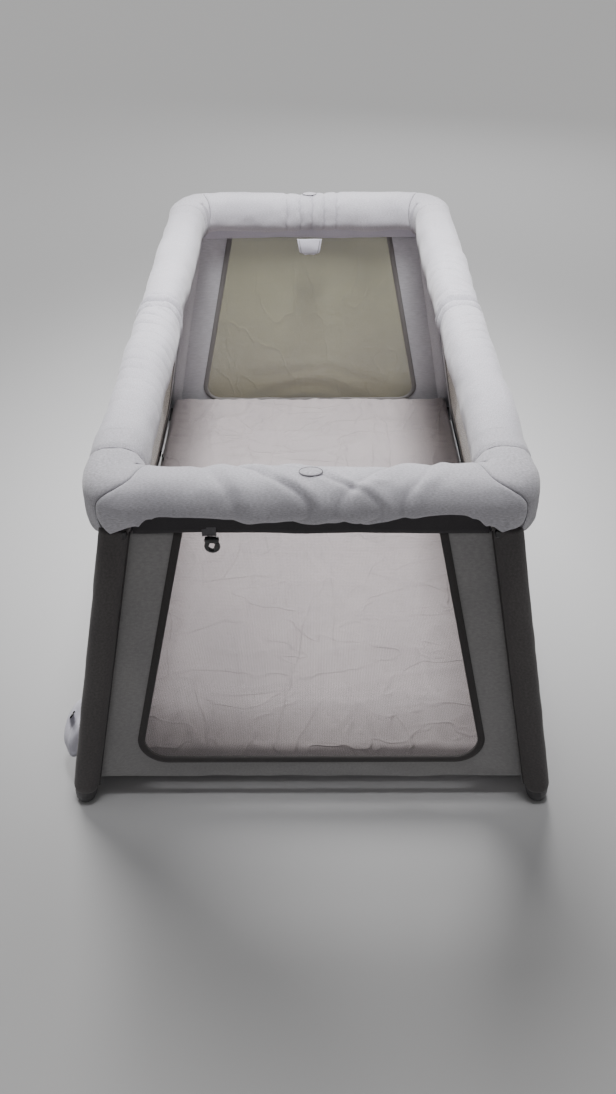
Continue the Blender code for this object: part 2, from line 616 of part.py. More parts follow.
def zip_slider():
    """Slider of the zip that runs along the foot of the left wall, on its inner side."""
    place = side_frame(-1, -(PANEL_THICK / 2 + 0.0028))
    v = ZIP_Z * SIDE_SLOPE
    body = [(ZIP_Y - 0.004, v - 0.006), (ZIP_Y + 0.004, v - 0.006), (ZIP_Y + 0.0055, v + 0.006),
            (ZIP_Y - 0.0055, v + 0.006)]
    slider = plate("zip_slider", [body], 0.0045, place, "black_plastic")
    pivot = place @ Vector((ZIP_Y, v, 0))
    slider.data.transform(Matrix.Translation(-pivot) @ slider.matrix_world)
    slider.matrix_world = Matrix.Translation(pivot)


hanging_strap()
pull_tab()
zip_slider()
bpy.context.view_layer.update()
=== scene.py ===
"""Looks of the folding playpen: fabric, mesh, mattress, plastics, light and camera.

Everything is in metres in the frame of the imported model. X runs across the playpen, Y along it,
and the front end is at -Y. Each visible piece is built by its own function below.
"""
import json
import math

import bpy
import numpy as np
from mathutils import Matrix, Vector, noise


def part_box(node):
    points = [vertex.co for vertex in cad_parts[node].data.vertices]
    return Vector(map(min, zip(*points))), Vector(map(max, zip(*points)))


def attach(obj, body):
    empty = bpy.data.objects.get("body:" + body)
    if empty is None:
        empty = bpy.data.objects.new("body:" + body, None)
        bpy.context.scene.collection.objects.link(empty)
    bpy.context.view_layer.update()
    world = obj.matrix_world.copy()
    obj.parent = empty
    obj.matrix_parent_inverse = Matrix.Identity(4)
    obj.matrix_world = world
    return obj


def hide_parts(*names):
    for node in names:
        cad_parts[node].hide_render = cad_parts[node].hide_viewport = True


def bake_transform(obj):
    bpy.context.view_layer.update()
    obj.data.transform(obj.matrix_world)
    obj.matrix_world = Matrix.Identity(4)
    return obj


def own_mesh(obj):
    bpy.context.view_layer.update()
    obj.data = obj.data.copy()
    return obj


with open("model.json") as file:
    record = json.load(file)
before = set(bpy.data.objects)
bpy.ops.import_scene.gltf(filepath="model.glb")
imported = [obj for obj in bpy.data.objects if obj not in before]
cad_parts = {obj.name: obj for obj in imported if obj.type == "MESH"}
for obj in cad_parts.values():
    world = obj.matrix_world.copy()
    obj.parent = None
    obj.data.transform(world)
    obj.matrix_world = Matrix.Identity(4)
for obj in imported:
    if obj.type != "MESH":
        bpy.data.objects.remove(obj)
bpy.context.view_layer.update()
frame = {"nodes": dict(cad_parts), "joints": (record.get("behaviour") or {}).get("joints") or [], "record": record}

# ---------------------------------------------------------------- sizes read from the frame
JOINTS = {joint["name"]: joint for joint in frame["joints"]}
short_low, short_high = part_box("rear_short_rail_pad")
long_low, long_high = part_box("right_rail_front_pad")
RAIL_Y = (short_low[1] + short_high[1]) / 2
RAIL_Z = (short_low[2] + short_high[2]) / 2
RAIL_X = (long_low[0] + long_high[0]) / 2
HALF_WIDE = (long_high[0] - long_low[0]) / 2      # half width of a padded rail
HALF_HIGH = (short_high[2] - short_low[2]) / 2
PIVOT_Y = abs(JOINTS["fold"]["pos_m"][1])
SOLE = next(m["pos_m"] for m in frame["record"]["mounts"] if m["name"] == "rear_right_sole")
LEG_TOP = Vector((0.2655, 0.527, 0.605))          # leg's centre line at the rails
LEG_FOOT = Vector(SOLE)
MATTRESS_LOW, MATTRESS_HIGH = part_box("mattress")

ENDS = {"front": -1, "rear": 1}
SIDES = {"left": -1, "right": 1}

# ---------------------------------------------------------------- sizes of the soft shapes
CORNER_RADIUS = 0.035          # of the padded rail's centre line
CORNER_LENGTH = CORNER_RADIUS * math.pi / 2
CAP_END_Y = 0.424              # where a corner cap hands over to a long sleeve
SEAM_Y = 0.463                 # the sewn line across the long rail
ROLL_POWER = 2.35              # 2 is an ellipse, more is squarer
ROLL_STEPS = 72                # points around a padded rail
LEG_POWER = 2.5                # the same for a leg's sleeve
STEP = 0.0035                  # spacing along a padded rail
PANEL_TOP = 0.553
WINDOW_LOW = 0.092
REAR_WINDOW_LOW = 0.066
WINDOW_CORNER = 0.042
WINDOW_HALF_TOP = 0.1865       # at PANEL_TOP
WINDOW_HALF_LOW = 0.297        # at WINDOW_LOW
END_HEM = 0.050
SIDE_WINDOW_HALF_TOP = 0.405
SIDE_WINDOW_HALF_LOW = 0.478
SIDE_WINDOW_LOW = 0.118
SIDE_HEM = 0.014
TAPE_HALF = 0.0060             # half width of the binding round a window
TAPE_THICK = 0.0030            # half thickness, through the wall
CLOTH = 0.0018                 # thickness of the woven walls
SHEET_GRID = (84, 128)         # points across and along the simulated sheet
SHEET_FRAMES = 26
SHEET_WRINKLE = 0.0017         # usual height of a wrinkle

# Points handed to carry() with the soft pieces, which then get meshes of their own.
FOLD_ANCHOR = (0.0, -0.568, 0.0)
BED_ANCHOR = (0.0, MATTRESS_LOW[1], 0.0)


def leg_x(z):
    """Distance of a leg's centre line from the middle plane, across."""
    return LEG_TOP.x + (LEG_FOOT.x - LEG_TOP.x) * (LEG_TOP.z - z) / LEG_TOP.z


def leg_y(z):
    """Distance of a leg's centre line from the middle, along the playpen."""
    return LEG_TOP.y + (LEG_FOOT.y - LEG_TOP.y) * (LEG_TOP.z - z) / LEG_TOP.z


# ---------------------------------------------------------------- materials
def new_material(name, roughness, metallic=0.0, coat=0.0, sheen=0.0):
    """An empty Principled material with its fixed values on the shader."""
    material = bpy.data.materials.new(name)
    material.use_nodes = True
    shader = material.node_tree.nodes["Principled BSDF"]
    values = {"Roughness": roughness, "Metallic": metallic, "Coat Weight": coat, "Coat Roughness": 0.12,
              "Sheen Weight": sheen, "Sheen Roughness": 0.5}
    for socket, value in values.items():
        shader.inputs[socket].default_value = value
    return material, material.node_tree, shader


def add_node(tree, kind, values, vector=None):
    """A shader node with its fixed values, and a link into its vector."""
    node = tree.nodes.new("ShaderNode" + kind)
    for name, value in values.items():
        node.inputs[name].default_value = value
    if vector is not None:
        tree.links.new(vector, node.inputs["Vector"])
    return node


def coordinates(tree, source, scale=(1.0, 1.0, 1.0)):
    """Texture coordinates, stretched by a scale."""
    coordinate = tree.nodes.new("ShaderNodeTexCoord")
    return add_node(tree, "Mapping", {"Scale": scale}, coordinate.outputs[source]).outputs["Vector"]


def noise_factor(tree, vector, scale, detail=3.0, roughness=0.6):
    """A noise texture's factor."""
    values = {"Scale": scale, "Detail": detail, "Roughness": roughness}
    return add_node(tree, "TexNoise", values, vector).outputs["Fac"]


def wave_factor(tree, vector, scale, direction):
    """Straight bands, for threads."""
    texture = add_node(tree, "TexWave", {"Scale": scale, "Distortion": 0.6, "Detail": 1.0}, vector)
    texture.wave_type = "BANDS"
    texture.bands_direction = direction
    return texture.outputs["Fac"]


def ranged(tree, value, low, high, to_low=0.0, to_high=1.0):
    """A value mapped from one range to another."""
    node = add_node(tree, "MapRange", {"From Min": low, "From Max": high, "To Min": to_low, "To Max": to_high})
    tree.links.new(value, node.inputs["Value"])
    return node.outputs["Result"]


def feed(tree, socket, value):
    """Give a socket a number, a colour or a link."""
    if isinstance(value, (int, float)):
        socket.default_value = value
    elif isinstance(value, tuple):
        socket.default_value = (*value, 1.0)
    else:
        tree.links.new(value, socket)


def math_node(tree, operation, first, second):
    """A math node on two values, each a socket or a number."""
    node = tree.nodes.new("ShaderNodeMath")
    node.operation = operation
    feed(tree, node.inputs[0], first)
    feed(tree, node.inputs[1], second)
    return node.outputs["Value"]


def ramp(tree, factor, stops):
    """A colour ramp through (position, colour) stops."""
    node = tree.nodes.new("ShaderNodeValToRGB")
    elements = node.color_ramp.elements
    while len(elements) < len(stops):
        elements.new(0.5)
    for element, (position, colour) in zip(elements, stops):
        element.position = position
        element.color = (*colour, 1.0)
    tree.links.new(factor, node.inputs["Fac"])
    return node.outputs["Color"]


def mixed(tree, factor, first, second, blend="MIX"):
    """A colour mix of two sockets or colours."""
    node = tree.nodes.new("ShaderNodeMix")
    node.data_type = "RGBA"
    node.blend_type = blend
    for name, value in (("Factor", factor), ("A", first), ("B", second)):
        feed(tree, node.inputs[name], value)
    return node.outputs["Result"]


def add_bump(tree, shader, height, strength, distance, under=None):
    """A bump on the shader's normal, over another one when there is one."""
    bump = add_node(tree, "Bump", {"Strength": strength, "Distance": distance})
    if under is not None:
        tree.links.new(under, bump.inputs["Normal"])
    tree.links.new(height, bump.inputs["Height"])
    tree.links.new(bump.outputs["Normal"], shader.inputs["Normal"])
    return bump.outputs["Normal"]


def scaled(colour, factor):
    """A colour made lighter or darker."""
    return tuple(min(1.0, channel * factor) for channel in colour)


def crease_lines(tree, stretch, scale, width, seed):
    """Thin wandering creases: 1 on a crease, 0 away from it."""
    values = {"Scale": scale, "Detail": 3.0, "Roughness": 0.45, "Distortion": 0.6}
    texture = add_node(tree, "TexNoise", values, coordinates(tree, "Object", stretch))
    texture.noise_dimensions = "4D"
    texture.inputs["W"].default_value = seed
    black, white = (0.0, 0.0, 0.0), (1.0, 1.0, 1.0)
    return ramp(tree, texture.outputs["Fac"], [(0.5 - width, black), (0.5, white), (0.5 + width * 0.6, black)])


def woven(name, colour, contrast=0.16, thread=0.0022, streak=(1.0, 3.0, 1.0), sheen=0.25, bump=0.35,
          roughness=0.9, creased=0.0):
    """Woven melange cloth: crossing threads, fine light and dark fibres, slow blotches and painted shade in its
    hollows. creased is the height of its fine creases, in metres."""
    material, tree, shader = new_material(name, roughness, sheen=sheen)
    flat = coordinates(tree, "UV")
    fibres = noise_factor(tree, coordinates(tree, "UV", streak), 240.0, 3.0, 0.75)
    blotches = noise_factor(tree, coordinates(tree, "Object"), 9.0, 4.0, 0.55)
    grain = ramp(tree, fibres, [(0.30, scaled(colour, 1 - contrast)), (0.52, colour),
                                (0.72, scaled(colour, 1 + contrast))])
    cloudy = ramp(tree, blotches, [(0.3, (0.90, 0.90, 0.91)), (0.7, (1.0, 1.0, 1.0))])
    cloth_colour = mixed(tree, 1.0, grain, cloudy, "MULTIPLY")
    # Painted shade: the cloth's colour is darkened where its surface is hollow, in creases, tucks and seams.
    relief = tree.nodes.new("ShaderNodeNewGeometry").outputs["Pointiness"]
    painted_hollow_shade = ramp(tree, relief, [(0.455, (0.62, 0.61, 0.63)), (0.497, (1.0, 1.0, 1.0)), (0.54, (1.0, 1.0, 1.0))])
    tree.links.new(mixed(tree, 1.0, cloth_colour, painted_hollow_shade, "MULTIPLY"), shader.inputs["Base Color"])
    warp = wave_factor(tree, flat, 1.0 / thread / 3.1416, "X")
    weft = wave_factor(tree, flat, 1.0 / thread / 3.1416, "Y")
    threads = math_node(tree, "MULTIPLY", math_node(tree, "MULTIPLY", warp, weft), 0.3)
    height = math_node(tree, "ADD", threads, fibres)
    fold_normal = None
    if creased:
        along = crease_lines(tree, (1.0, 0.36, 1.0), 8.5, 0.034, 1.0)
        across = crease_lines(tree, (0.50, 1.0, 1.0), 9.5, 0.030, 7.0)
        fold_normal = add_bump(tree, shader, math_node(tree, "ADD", along, across), 1.0, creased)
    add_bump(tree, shader, height, bump, 0.0006, fold_normal)
    return material


def net(name, colour, coverage, hole=0.0026, foot=None):
    """Open knitted mesh: thin threads round small holes. foot is its colour near the floor."""
    material, tree, shader = new_material(name, 0.75, sheen=0.15)
    cells = add_node(tree, "TexVoronoi", {"Scale": 1.0 / hole, "Randomness": 0.25}, coordinates(tree, "UV"))
    cells.feature = "DISTANCE_TO_EDGE"
    cloud = noise_factor(tree, coordinates(tree, "Object"), 5.0, 3.0, 0.5)
    tone = ramp(tree, cloud, [(0.3, scaled(colour, 0.90)), (0.7, scaled(colour, 1.06))])
    if foot is not None:
        place = add_node(tree, "SeparateXYZ", {}, coordinates(tree, "Object"))
        height = ranged(tree, place.outputs["Z"], 0.10, 0.45)
        uneven = math_node(tree, "ADD", height, math_node(tree, "MULTIPLY", cloud, 0.5))
        spot = math_node(tree, "SUBTRACT", uneven, 0.25)
        tone = mixed(tree, spot, foot, tone)
    tree.links.new(tone, shader.inputs["Base Color"])
    alpha = ranged(tree, cells.outputs["Distance"], 0.02, 0.20, min(1.0, coverage * 1.9), coverage * 0.55)
    tree.links.new(alpha, shader.inputs["Alpha"])
    add_bump(tree, shader, crease_lines(tree, (1.0, 1.0, 0.6), 8.0, 0.036, 3.0), 1.0, 0.0009)
    return material


def moulded(name, colour, roughness=0.42, grain=0.25, coat=0.0, metallic=0.0):
    """Moulded plastic or satin metal with a fine grain."""
    material, tree, shader = new_material(name, roughness, metallic, coat)
    place = coordinates(tree, "Object")
    fine = noise_factor(tree, place, 900.0, 2.0, 0.5)
    wear = noise_factor(tree, place, 40.0, 4.0, 0.6)
    tone = ramp(tree, wear, [(0.3, scaled(colour, 0.85)), (0.7, scaled(colour, 1.2))])
    tree.links.new(tone, shader.inputs["Base Color"])
    add_bump(tree, shader, fine, grain, 0.0002)
    return material


RAIL_CLOTH = woven("rail_cloth", (0.58, 0.565, 0.61), 0.30, streak=(1.0, 3.2, 1.0), sheen=0.35)
CAP_CLOTH = woven("cap_cloth", (0.56, 0.545, 0.585), 0.30, streak=(3.2, 1.0, 1.0), sheen=0.35)
LEG_CLOTH = woven("leg_cloth", (0.112, 0.103, 0.102), 0.22, streak=(1.0, 1.0, 1.0), sheen=0.12)
STRIP_CLOTH = woven("strip_cloth", (0.37, 0.36, 0.36), 0.14, streak=(1.0, 1.0, 1.0), sheen=0.15)
# Painted light: the walls' inner faces are the same cloth as their outsides, made paler to stand in for light
# shining through it from behind.
BACKLIT_INNER_CLOTH = woven("panel_lining", (0.60, 0.60, 0.63), 0.12, streak=(1.0, 1.0, 1.0), sheen=0.2)
# Painted shade: the panel cloth under the front rail, made near-black to stand in for the rail's shadow.
SHADED_BAND_CLOTH = woven("skirt_cloth", (0.050, 0.046, 0.050), 0.18, sheen=0.05)
TAPE_CLOTH = woven("tape_cloth", (0.070, 0.064, 0.064), 0.2, 0.0014, streak=(1.0, 4.0, 1.0), sheen=0.1)
INNER_TAPE = woven("inner_tape_cloth", (0.21, 0.20, 0.195), 0.15, 0.0014, streak=(1.0, 4.0, 1.0), sheen=0.1)
HEM_CLOTH = woven("hem_cloth", (0.60, 0.59, 0.66), 0.10, sheen=0.2)
SHEET_CLOTH = woven("sheet_cloth", (0.43, 0.385, 0.39), 0.06, 0.0012, streak=(1.0, 1.0, 1.0), sheen=0.2,
                    bump=0.18, creased=0.0015)
FLOOR_CLOTH = woven("floor_cloth", (0.10, 0.10, 0.11), 0.15, sheen=0.05)
WEBBING = woven("strap_web", (0.16, 0.155, 0.165), 0.2, 0.0016, streak=(6.0, 1.0, 1.0), sheen=0.1)
THREAD = woven("seam_thread", (0.22, 0.21, 0.23), 0.2, 0.0010, sheen=0.0)
FRONT_NET = net("front_net", (0.40, 0.37, 0.36), 0.13)
REAR_NET = net("rear_net", (0.385, 0.375, 0.235), 0.80, foot=(0.21, 0.185, 0.105))
SIDE_NET = net("side_net", (0.62, 0.59, 0.54), 0.70)
BLACK = moulded("black_plastic_gloss", (0.010, 0.010, 0.011), 0.16, 0.05, coat=0.6)
GREY = moulded("grey_plastic_grain", (0.075, 0.072, 0.075), 0.45, 0.3)
ALUMINIUM = moulded("aluminium_satin", (0.62, 0.62, 0.64), 0.33, 0.1, metallic=1.0)
STEEL = moulded("steel_zinc", (0.50, 0.50, 0.51), 0.28, 0.1, metallic=1.0)


# ---------------------------------------------------------------- mesh helpers
def wobble(point, scale, seed=0.0):
    """Smooth noise from -1 to 1."""
    return noise.noise(Vector(point) * scale + Vector((seed, seed * 1.7, seed * 0.6)))


def bell(value, width):
    """A smooth bump of height 1."""
    return math.exp(-(value / width) ** 2)


def smooth(value, low, high):
    """0 below low, 1 above high, smooth between."""
    t = min(1.0, max(0.0, (value - low) / (high - low)))
    return t * t * (3 - 2 * t)


def signed_power(value, power):
    """A power that keeps the sign, for squarish ovals."""
    return math.copysign(abs(value) ** power, value)


def turns(count):
    """Angles once round, evenly spaced."""
    return [2 * math.pi * k / count for k in range(count)]


def carry(pieces, body, bunched=None):
    """Put pieces on a body. When bunched is given, each piece also gets a mesh of its own."""
    for piece in pieces:
        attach(piece, body)
        if bunched is not None:
            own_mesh(piece)


def surface(name, rows, material, closed=True, caps=True, thickness=0.0, inner_material=None, outward=None):
    """A mesh through rows of points. Closed rows make a tube, whose ends can be capped. An open one can be
    given a thickness, and a second material on the side away from outward."""
    rows = np.asarray(rows, float)
    count, width = rows.shape[:2]
    points = [tuple(p) for p in rows.reshape(-1, 3)]
    faces = []
    last = width if closed else width - 1
    for i in range(count - 1):
        for j in range(last):
            k = (j + 1) % width
            faces.append((i * width + j, i * width + k, (i + 1) * width + k, (i + 1) * width + j))
    if closed and caps:
        for i, turn in ((0, 1), (count - 1, -1)):
            points.append(tuple(rows[i].mean(axis=0)))
            hub = len(points) - 1
            for j in range(width):
                k = (j + 1) % width
                ring = (i * width + k, i * width + j) if turn > 0 else (i * width + j, i * width + k)
                faces.append((hub, *ring))
    mesh = bpy.data.meshes.new(name)
    mesh.from_pydata(points, [], faces)
    along = np.concatenate([[0], np.cumsum(np.linalg.norm(np.diff(rows.mean(axis=1), axis=0), axis=1))])
    middle = rows[count // 2]
    steps = np.linalg.norm(np.diff(np.vstack([middle, middle[:1]]), axis=0), axis=1)
    around = np.concatenate([[0], np.cumsum(steps)])
    layer = mesh.uv_layers.new(name="UVMap")
    for polygon in mesh.polygons:
        columns = [mesh.loops[n].vertex_index % width for n in polygon.loop_indices]
        wraps = closed and 0 in columns and width - 1 in columns
        for n in polygon.loop_indices:
            index = mesh.loops[n].vertex_index
            if index >= count * width:
                layer.data[n].uv = (0.0, 0.0)
                continue
            row, column = divmod(index, width)
            v = around[width] if wraps and column == 0 else around[column]
            layer.data[n].uv = (along[row], v)
    mesh.materials.append(material)
    mesh.shade_smooth()
    item = bpy.data.objects.new(name, mesh)
    bpy.context.scene.collection.objects.link(item)
    if closed:
        face_out(mesh)
    if thickness:
        facing = sum((polygon.normal * polygon.area for polygon in mesh.polygons), Vector())
        if outward is not None and facing.dot(outward) < 0:
            mesh.flip_normals()
        solid = item.modifiers.new("thickness", "SOLIDIFY")
        if inner_material is not None:
            mesh.materials.append(inner_material)
            solid.material_offset = 1
        solid.thickness = thickness
        solid.offset = 0.0
        apply_modifiers(item)
    return item


def face_out(mesh):
    """Turn a closed mesh's faces outwards."""
    mesh.calc_loop_triangles()
    points = np.array([v.co for v in mesh.vertices])
    corners = np.array([t.vertices for t in mesh.loop_triangles])
    a, b, c = points[corners[:, 0]], points[corners[:, 1]], points[corners[:, 2]]
    if np.einsum("ij,ij->i", a, np.cross(b, c)).sum() < 0:
        mesh.flip_normals()


def apply_modifiers(item):
    """Keep the evaluated mesh and drop the modifiers."""
    evaluated = item.evaluated_get(bpy.context.evaluated_depsgraph_get())
    mesh = bpy.data.meshes.new_from_object(evaluated)
    item.modifiers.clear()
    item.data = mesh
    return item


def tube(name, points, radius, material, sides=8, closed=False):
    """A round thread or cord along points."""
    points = [Vector(p) for p in points]
    count = len(points)
    rows = []
    up = None
    for i, point in enumerate(points):
        before = points[(i - 1) % count] if closed or i else point
        after = points[(i + 1) % count] if closed or i < count - 1 else point
        tangent = (after - before).normalized()
        if up is None:
            up = tangent.orthogonal().normalized()
        up = (up - tangent * up.dot(tangent)).normalized()
        side = tangent.cross(up)
        rows.append([point + up * radius * math.cos(a) + side * radius * math.sin(a)
                     for a in turns(sides)])
    if closed:
        rows.append(rows[0])
    return surface(name, rows, material, caps=not closed)


# ---------------------------------------------------------------- the padded top rails
def corner_path(q):
    """Centre line and outward direction in the +X +Y quarter. q is 0 where the corner's arc begins
    and grows from the long rail, round the corner, to the short rail."""
    r = CORNER_RADIUS
    if q <= 0:
        return Vector((RAIL_X, RAIL_Y - r + q, 0)), Vector((1, 0, 0))
    if q >= CORNER_LENGTH:
        return Vector((RAIL_X - r - (q - CORNER_LENGTH), RAIL_Y, 0)), Vector((0, 1, 0))
    a = q / r
    out = Vector((math.cos(a), math.sin(a), 0))
    return Vector((RAIL_X - r, RAIL_Y - r, 0)) + out * r, out


def long_q(y):
    """q at a distance along the long rail from the middle."""
    return y - (RAIL_Y - CORNER_RADIUS)


def short_q(x):
    """q at a distance along the short rail from the middle."""
    return CORNER_LENGTH + (RAIL_X - CORNER_RADIUS) - x


# How strongly each quarter's long sleeve is wrinkled near its hinge, and how far that reaches.
WRINKLES = {(-1, -1): (1.0, 0.24), (-1, 1): (0.45, 0.09), (1, -1): (0.60, 0.12), (1, 1): (0.85, 0.12)}
# Soft diagonal folds on the near short rail: place at the top, lean round the rail, width and depth.
NEAR_FOLDS = ((-0.128, 0.030, 0.020, 0.0032), (-0.060, 0.062, 0.015, 0.0036), (0.010, 0.085, 0.013, 0.0024),
              (0.082, -0.045, 0.017, 0.0031), (0.150, -0.026, 0.014, 0.0027))
REAR_CREASES = (-0.052, -0.020, 0.006, 0.033, 0.061)


def creases(point, sx, sy, angle):
    """Depth of the folds across the rails, at a point of the quarter's surface."""
    amount = 0.0
    up = max(0.0, math.sin(angle))
    if abs(point.x) > RAIL_X - 0.06 and abs(point.y) < PIVOT_Y - 0.02:
        strength, reach = WRINKLES[(sx, sy)]
        y = abs(point.y)
        lean = 0.35 * (point.x - sx * RAIL_X) * sx + 0.004 * wobble(point, 22.0, 3.0)
        phase = (y + lean) / 0.031
        fold = (1 - abs(math.sin(math.pi * phase))) ** 2.5
        fade = smooth(y, 0.012, 0.035) * (1 - smooth(y, reach, reach + 0.16))
        patchy = 0.55 + 0.45 * wobble(point, 14.0, 9.0)
        amount -= 0.0056 * strength * fold * fade * patchy * (0.35 + 0.65 * up)
        sway = 0.004 * wobble((point.x * 3, point.z * 3, sx + 0.5 * sy), 20.0, 7.0)
        amount += 0.0040 * bell(y - 0.0125 - sway, 0.0050) - 0.0034 * bell(y - 0.0240 - sway, 0.0040)
    if sy < 0 and abs(point.y) > RAIL_Y - 0.06 and abs(point.x) < 0.20:
        for x, lean, width, depth in NEAR_FOLDS:
            line = x + lean * math.cos(angle) + 0.005 * wobble(point, 18.0, 11.0)
            amount += depth * (bell(point.x - line - width, width) - bell(point.x - line, width * 0.6))
    if sy > 0 and abs(point.y) > RAIL_Y - 0.06 and abs(point.x) < 0.11:
        for x in REAR_CREASES:
            sway = 0.004 * wobble((x, point.z * 3, 0), 30.0, 5.0)
            amount -= 0.0034 * bell(point.x - x - sway, 0.0045) * (0.5 + 0.5 * abs(math.cos(angle)))
    return amount


def roll_point(q, angle, sx, sy, swell=0.0, slim=0.0):
    """A point of the padded rail's surface. angle is 0 outwards and 90 degrees upwards. slim lifts the
    underside."""
    centre, out = corner_path(q)
    corner = bell((q - CORNER_LENGTH / 2) / (CORNER_LENGTH * 0.75), 1.0)
    below = max(0.0, -math.sin(angle))
    outer = max(0.0, math.cos(angle))
    share = 2 / (ROLL_POWER + 1.6 * corner * below * outer * 2)
    wide = signed_power(math.cos(angle), share)
    high = signed_power(math.sin(angle), share)
    half_wide = HALF_WIDE + 0.0005 + corner * (0.0040 + 0.0035 * below if wide > 0 else 0.014)
    half_high = HALF_HIGH + 0.0002
    if high < 0:
        half_high += corner * (0.006 + 0.022 * smooth(outer, 0.05, 0.75)) - slim
    offset = out * wide * half_wide + Vector((0, 0, high * half_high))
    local = centre + offset
    point = Vector((sx * local.x, sy * local.y, RAIL_Z + local.z))
    normal = Vector((sx * out.x * math.cos(angle), sy * out.y * math.cos(angle), math.sin(angle)))
    depth = 0.0042 * wobble(point, 8.0, 1.0) + 0.0029 * wobble(point, 19.0, 2.0) + 0.0007 * wobble(point, 60.0, 4.0)
    depth += creases(point, sx, sy, angle)
    gather = corner * smooth(below, -0.15, 0.75) * outer ** 0.5
    around = q * 1.0 + 0.010 * wobble(point, 16.0, 6.0)
    depth += gather * 0.0052 * (1 - 2 * abs(math.sin(math.pi * around / 0.0200)) ** 0.8)
    if high > 0.97:
        depth = min(depth, 0.0012)
    return point + normal * (depth + swell)


def tucked(distance, depth=0.0045, reach=0.0085):
    """How far cloth pulls in close to a seam."""
    t = min(1.0, max(0.0, distance) / reach)
    return -depth * (1 - math.sqrt(max(0.0, 1 - (1 - t) ** 2)))


def roll_piece(name, start, end, sx, sy, material, start_tuck, end_tuck, line_seam=None):
    """A stretch of the padded rail between two ends, each a function of the angle round it."""
    angles = [a - math.pi / 2 for a in turns(ROLL_STEPS)]
    length = end(0.0) - start(0.0)
    count = max(8, int(abs(length) / STEP))
    near = [0.0, 0.0012, 0.0028, 0.0050]
    shares = sorted(set([d / abs(length) for d in near] + [1 - d / abs(length) for d in near]
                        + [0.0065 / abs(length) + i * (1 - 0.013 / abs(length)) / count for i in range(count + 1)]))
    rows = []
    for share in shares:
        row = []
        for angle in angles:
            q0, q1 = start(angle), end(angle)
            q = q0 + (q1 - q0) * share
            pull = 0.0
            if start_tuck:
                pull += tucked(abs(q - q0), *start_tuck)
            if end_tuck:
                pull += tucked(abs(q1 - q), *end_tuck)
            if line_seam is not None:
                pull -= 0.0038 * bell(q - line_seam(angle), 0.0036)
            row.append(roll_point(q, angle, sx, sy, pull))
        rows.append(row)
    return surface(name, rows, material)


def seam_b(angle):
    """The cap's slanting seam on the short rail, as q: it starts at the inner corner."""
    lean = 0.5 - 0.5 * math.cos(angle + math.radians(20))
    return short_q(0.268 - 0.044 * lean)


def seam_a(angle):
    """The cap's seam across the long rail, as q."""
    return long_q(SEAM_Y + 0.004 * math.sin(angle))


SEAM_TUCK = (0.0030, 0.0060)
HINGE_TUCK = (0.0180, 0.0200)


def thread_line(name, at, sx, sy, low, high, lift=-0.0030, radius=0.0006, steps=64):
    """A dark sewing line round the rail. at gives q for an angle."""
    points = []
    for k in range(steps + 1):
        angle = math.radians(low + (high - low) * k / steps)
        points.append(roll_point(at(angle), angle, sx, sy, lift))
    return tube(name, points, radius, THREAD, 6)


def top_rails():
    """Corner caps, long sleeves and short sleeves. The seams, the short sleeves and the rear right caps with their
    knuckles go on their frame's body; the other caps and the long sleeves stay where they are built.
    """
    for end, sy in ENDS.items():
        for side, sx in SIDES.items():
            tag = f"{end}_{side}"
            frame_body = f"{end}_frame"
            inner = lambda angle: long_q(CAP_END_Y)
            cap = roll_piece(f"{tag}_cap", inner, seam_b, sx, sy, CAP_CLOTH, None, SEAM_TUCK, seam_a)
            cross = thread_line(f"{tag}_cap_seam", seam_a, sx, sy, -60, 205)
            slant = thread_line(f"{tag}_slant_seam", seam_b, sx, sy, -75, 190, -0.0026)
            hem_points = []
            for k in range(49):
                angle = math.radians(-52)
                q = seam_a(angle) + (seam_b(angle) - seam_a(angle)) * (0.04 + 0.92 * k / 48)
                hem_points.append(roll_point(q, angle, sx, sy, 0.0001))
            hem = tube(f"{tag}_cap_hem_stitch", hem_points, 0.0006, THREAD, 6)
            carry((cross, slant, hem), frame_body)
            if end == "front" or side == "left":
                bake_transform(cap)
            else:
                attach(cap, frame_body)
                knuckle(tag, sx, sy, frame_body)
            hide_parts(f"{tag}_corner_cap")

            middle = lambda angle: long_q(0.0015)
            sleeve = roll_piece(f"{tag}_sleeve", middle, inner, sx, sy, RAIL_CLOTH, HINGE_TUCK, None)
            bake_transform(sleeve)
            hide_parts(f"{side}_rail_{end}_pad")
        short_sleeve(end, sy)


KNUCKLE_HALF = 0.0365           # half width of the padding over a pivot
KNUCKLE_RADIUS = 0.0385


def knuckle(tag, sx, sy, body):
    """The padding over a corner's pivot, which shows when the rail swings down."""
    rows = []
    for i in range(25):
        lift = -math.pi / 2 + math.pi * (i + 0.5) / 25
        radius = KNUCKLE_RADIUS * math.cos(lift)
        rows.append([Vector((sx * RAIL_X + KNUCKLE_HALF * math.sin(lift), sy * PIVOT_Y + radius * math.cos(a),
                             RAIL_Z + radius * math.sin(a)))
                     for a in turns(48)])
    ball = surface(f"{tag}_knuckle", rows, CAP_CLOTH)
    carry((ball,), body)


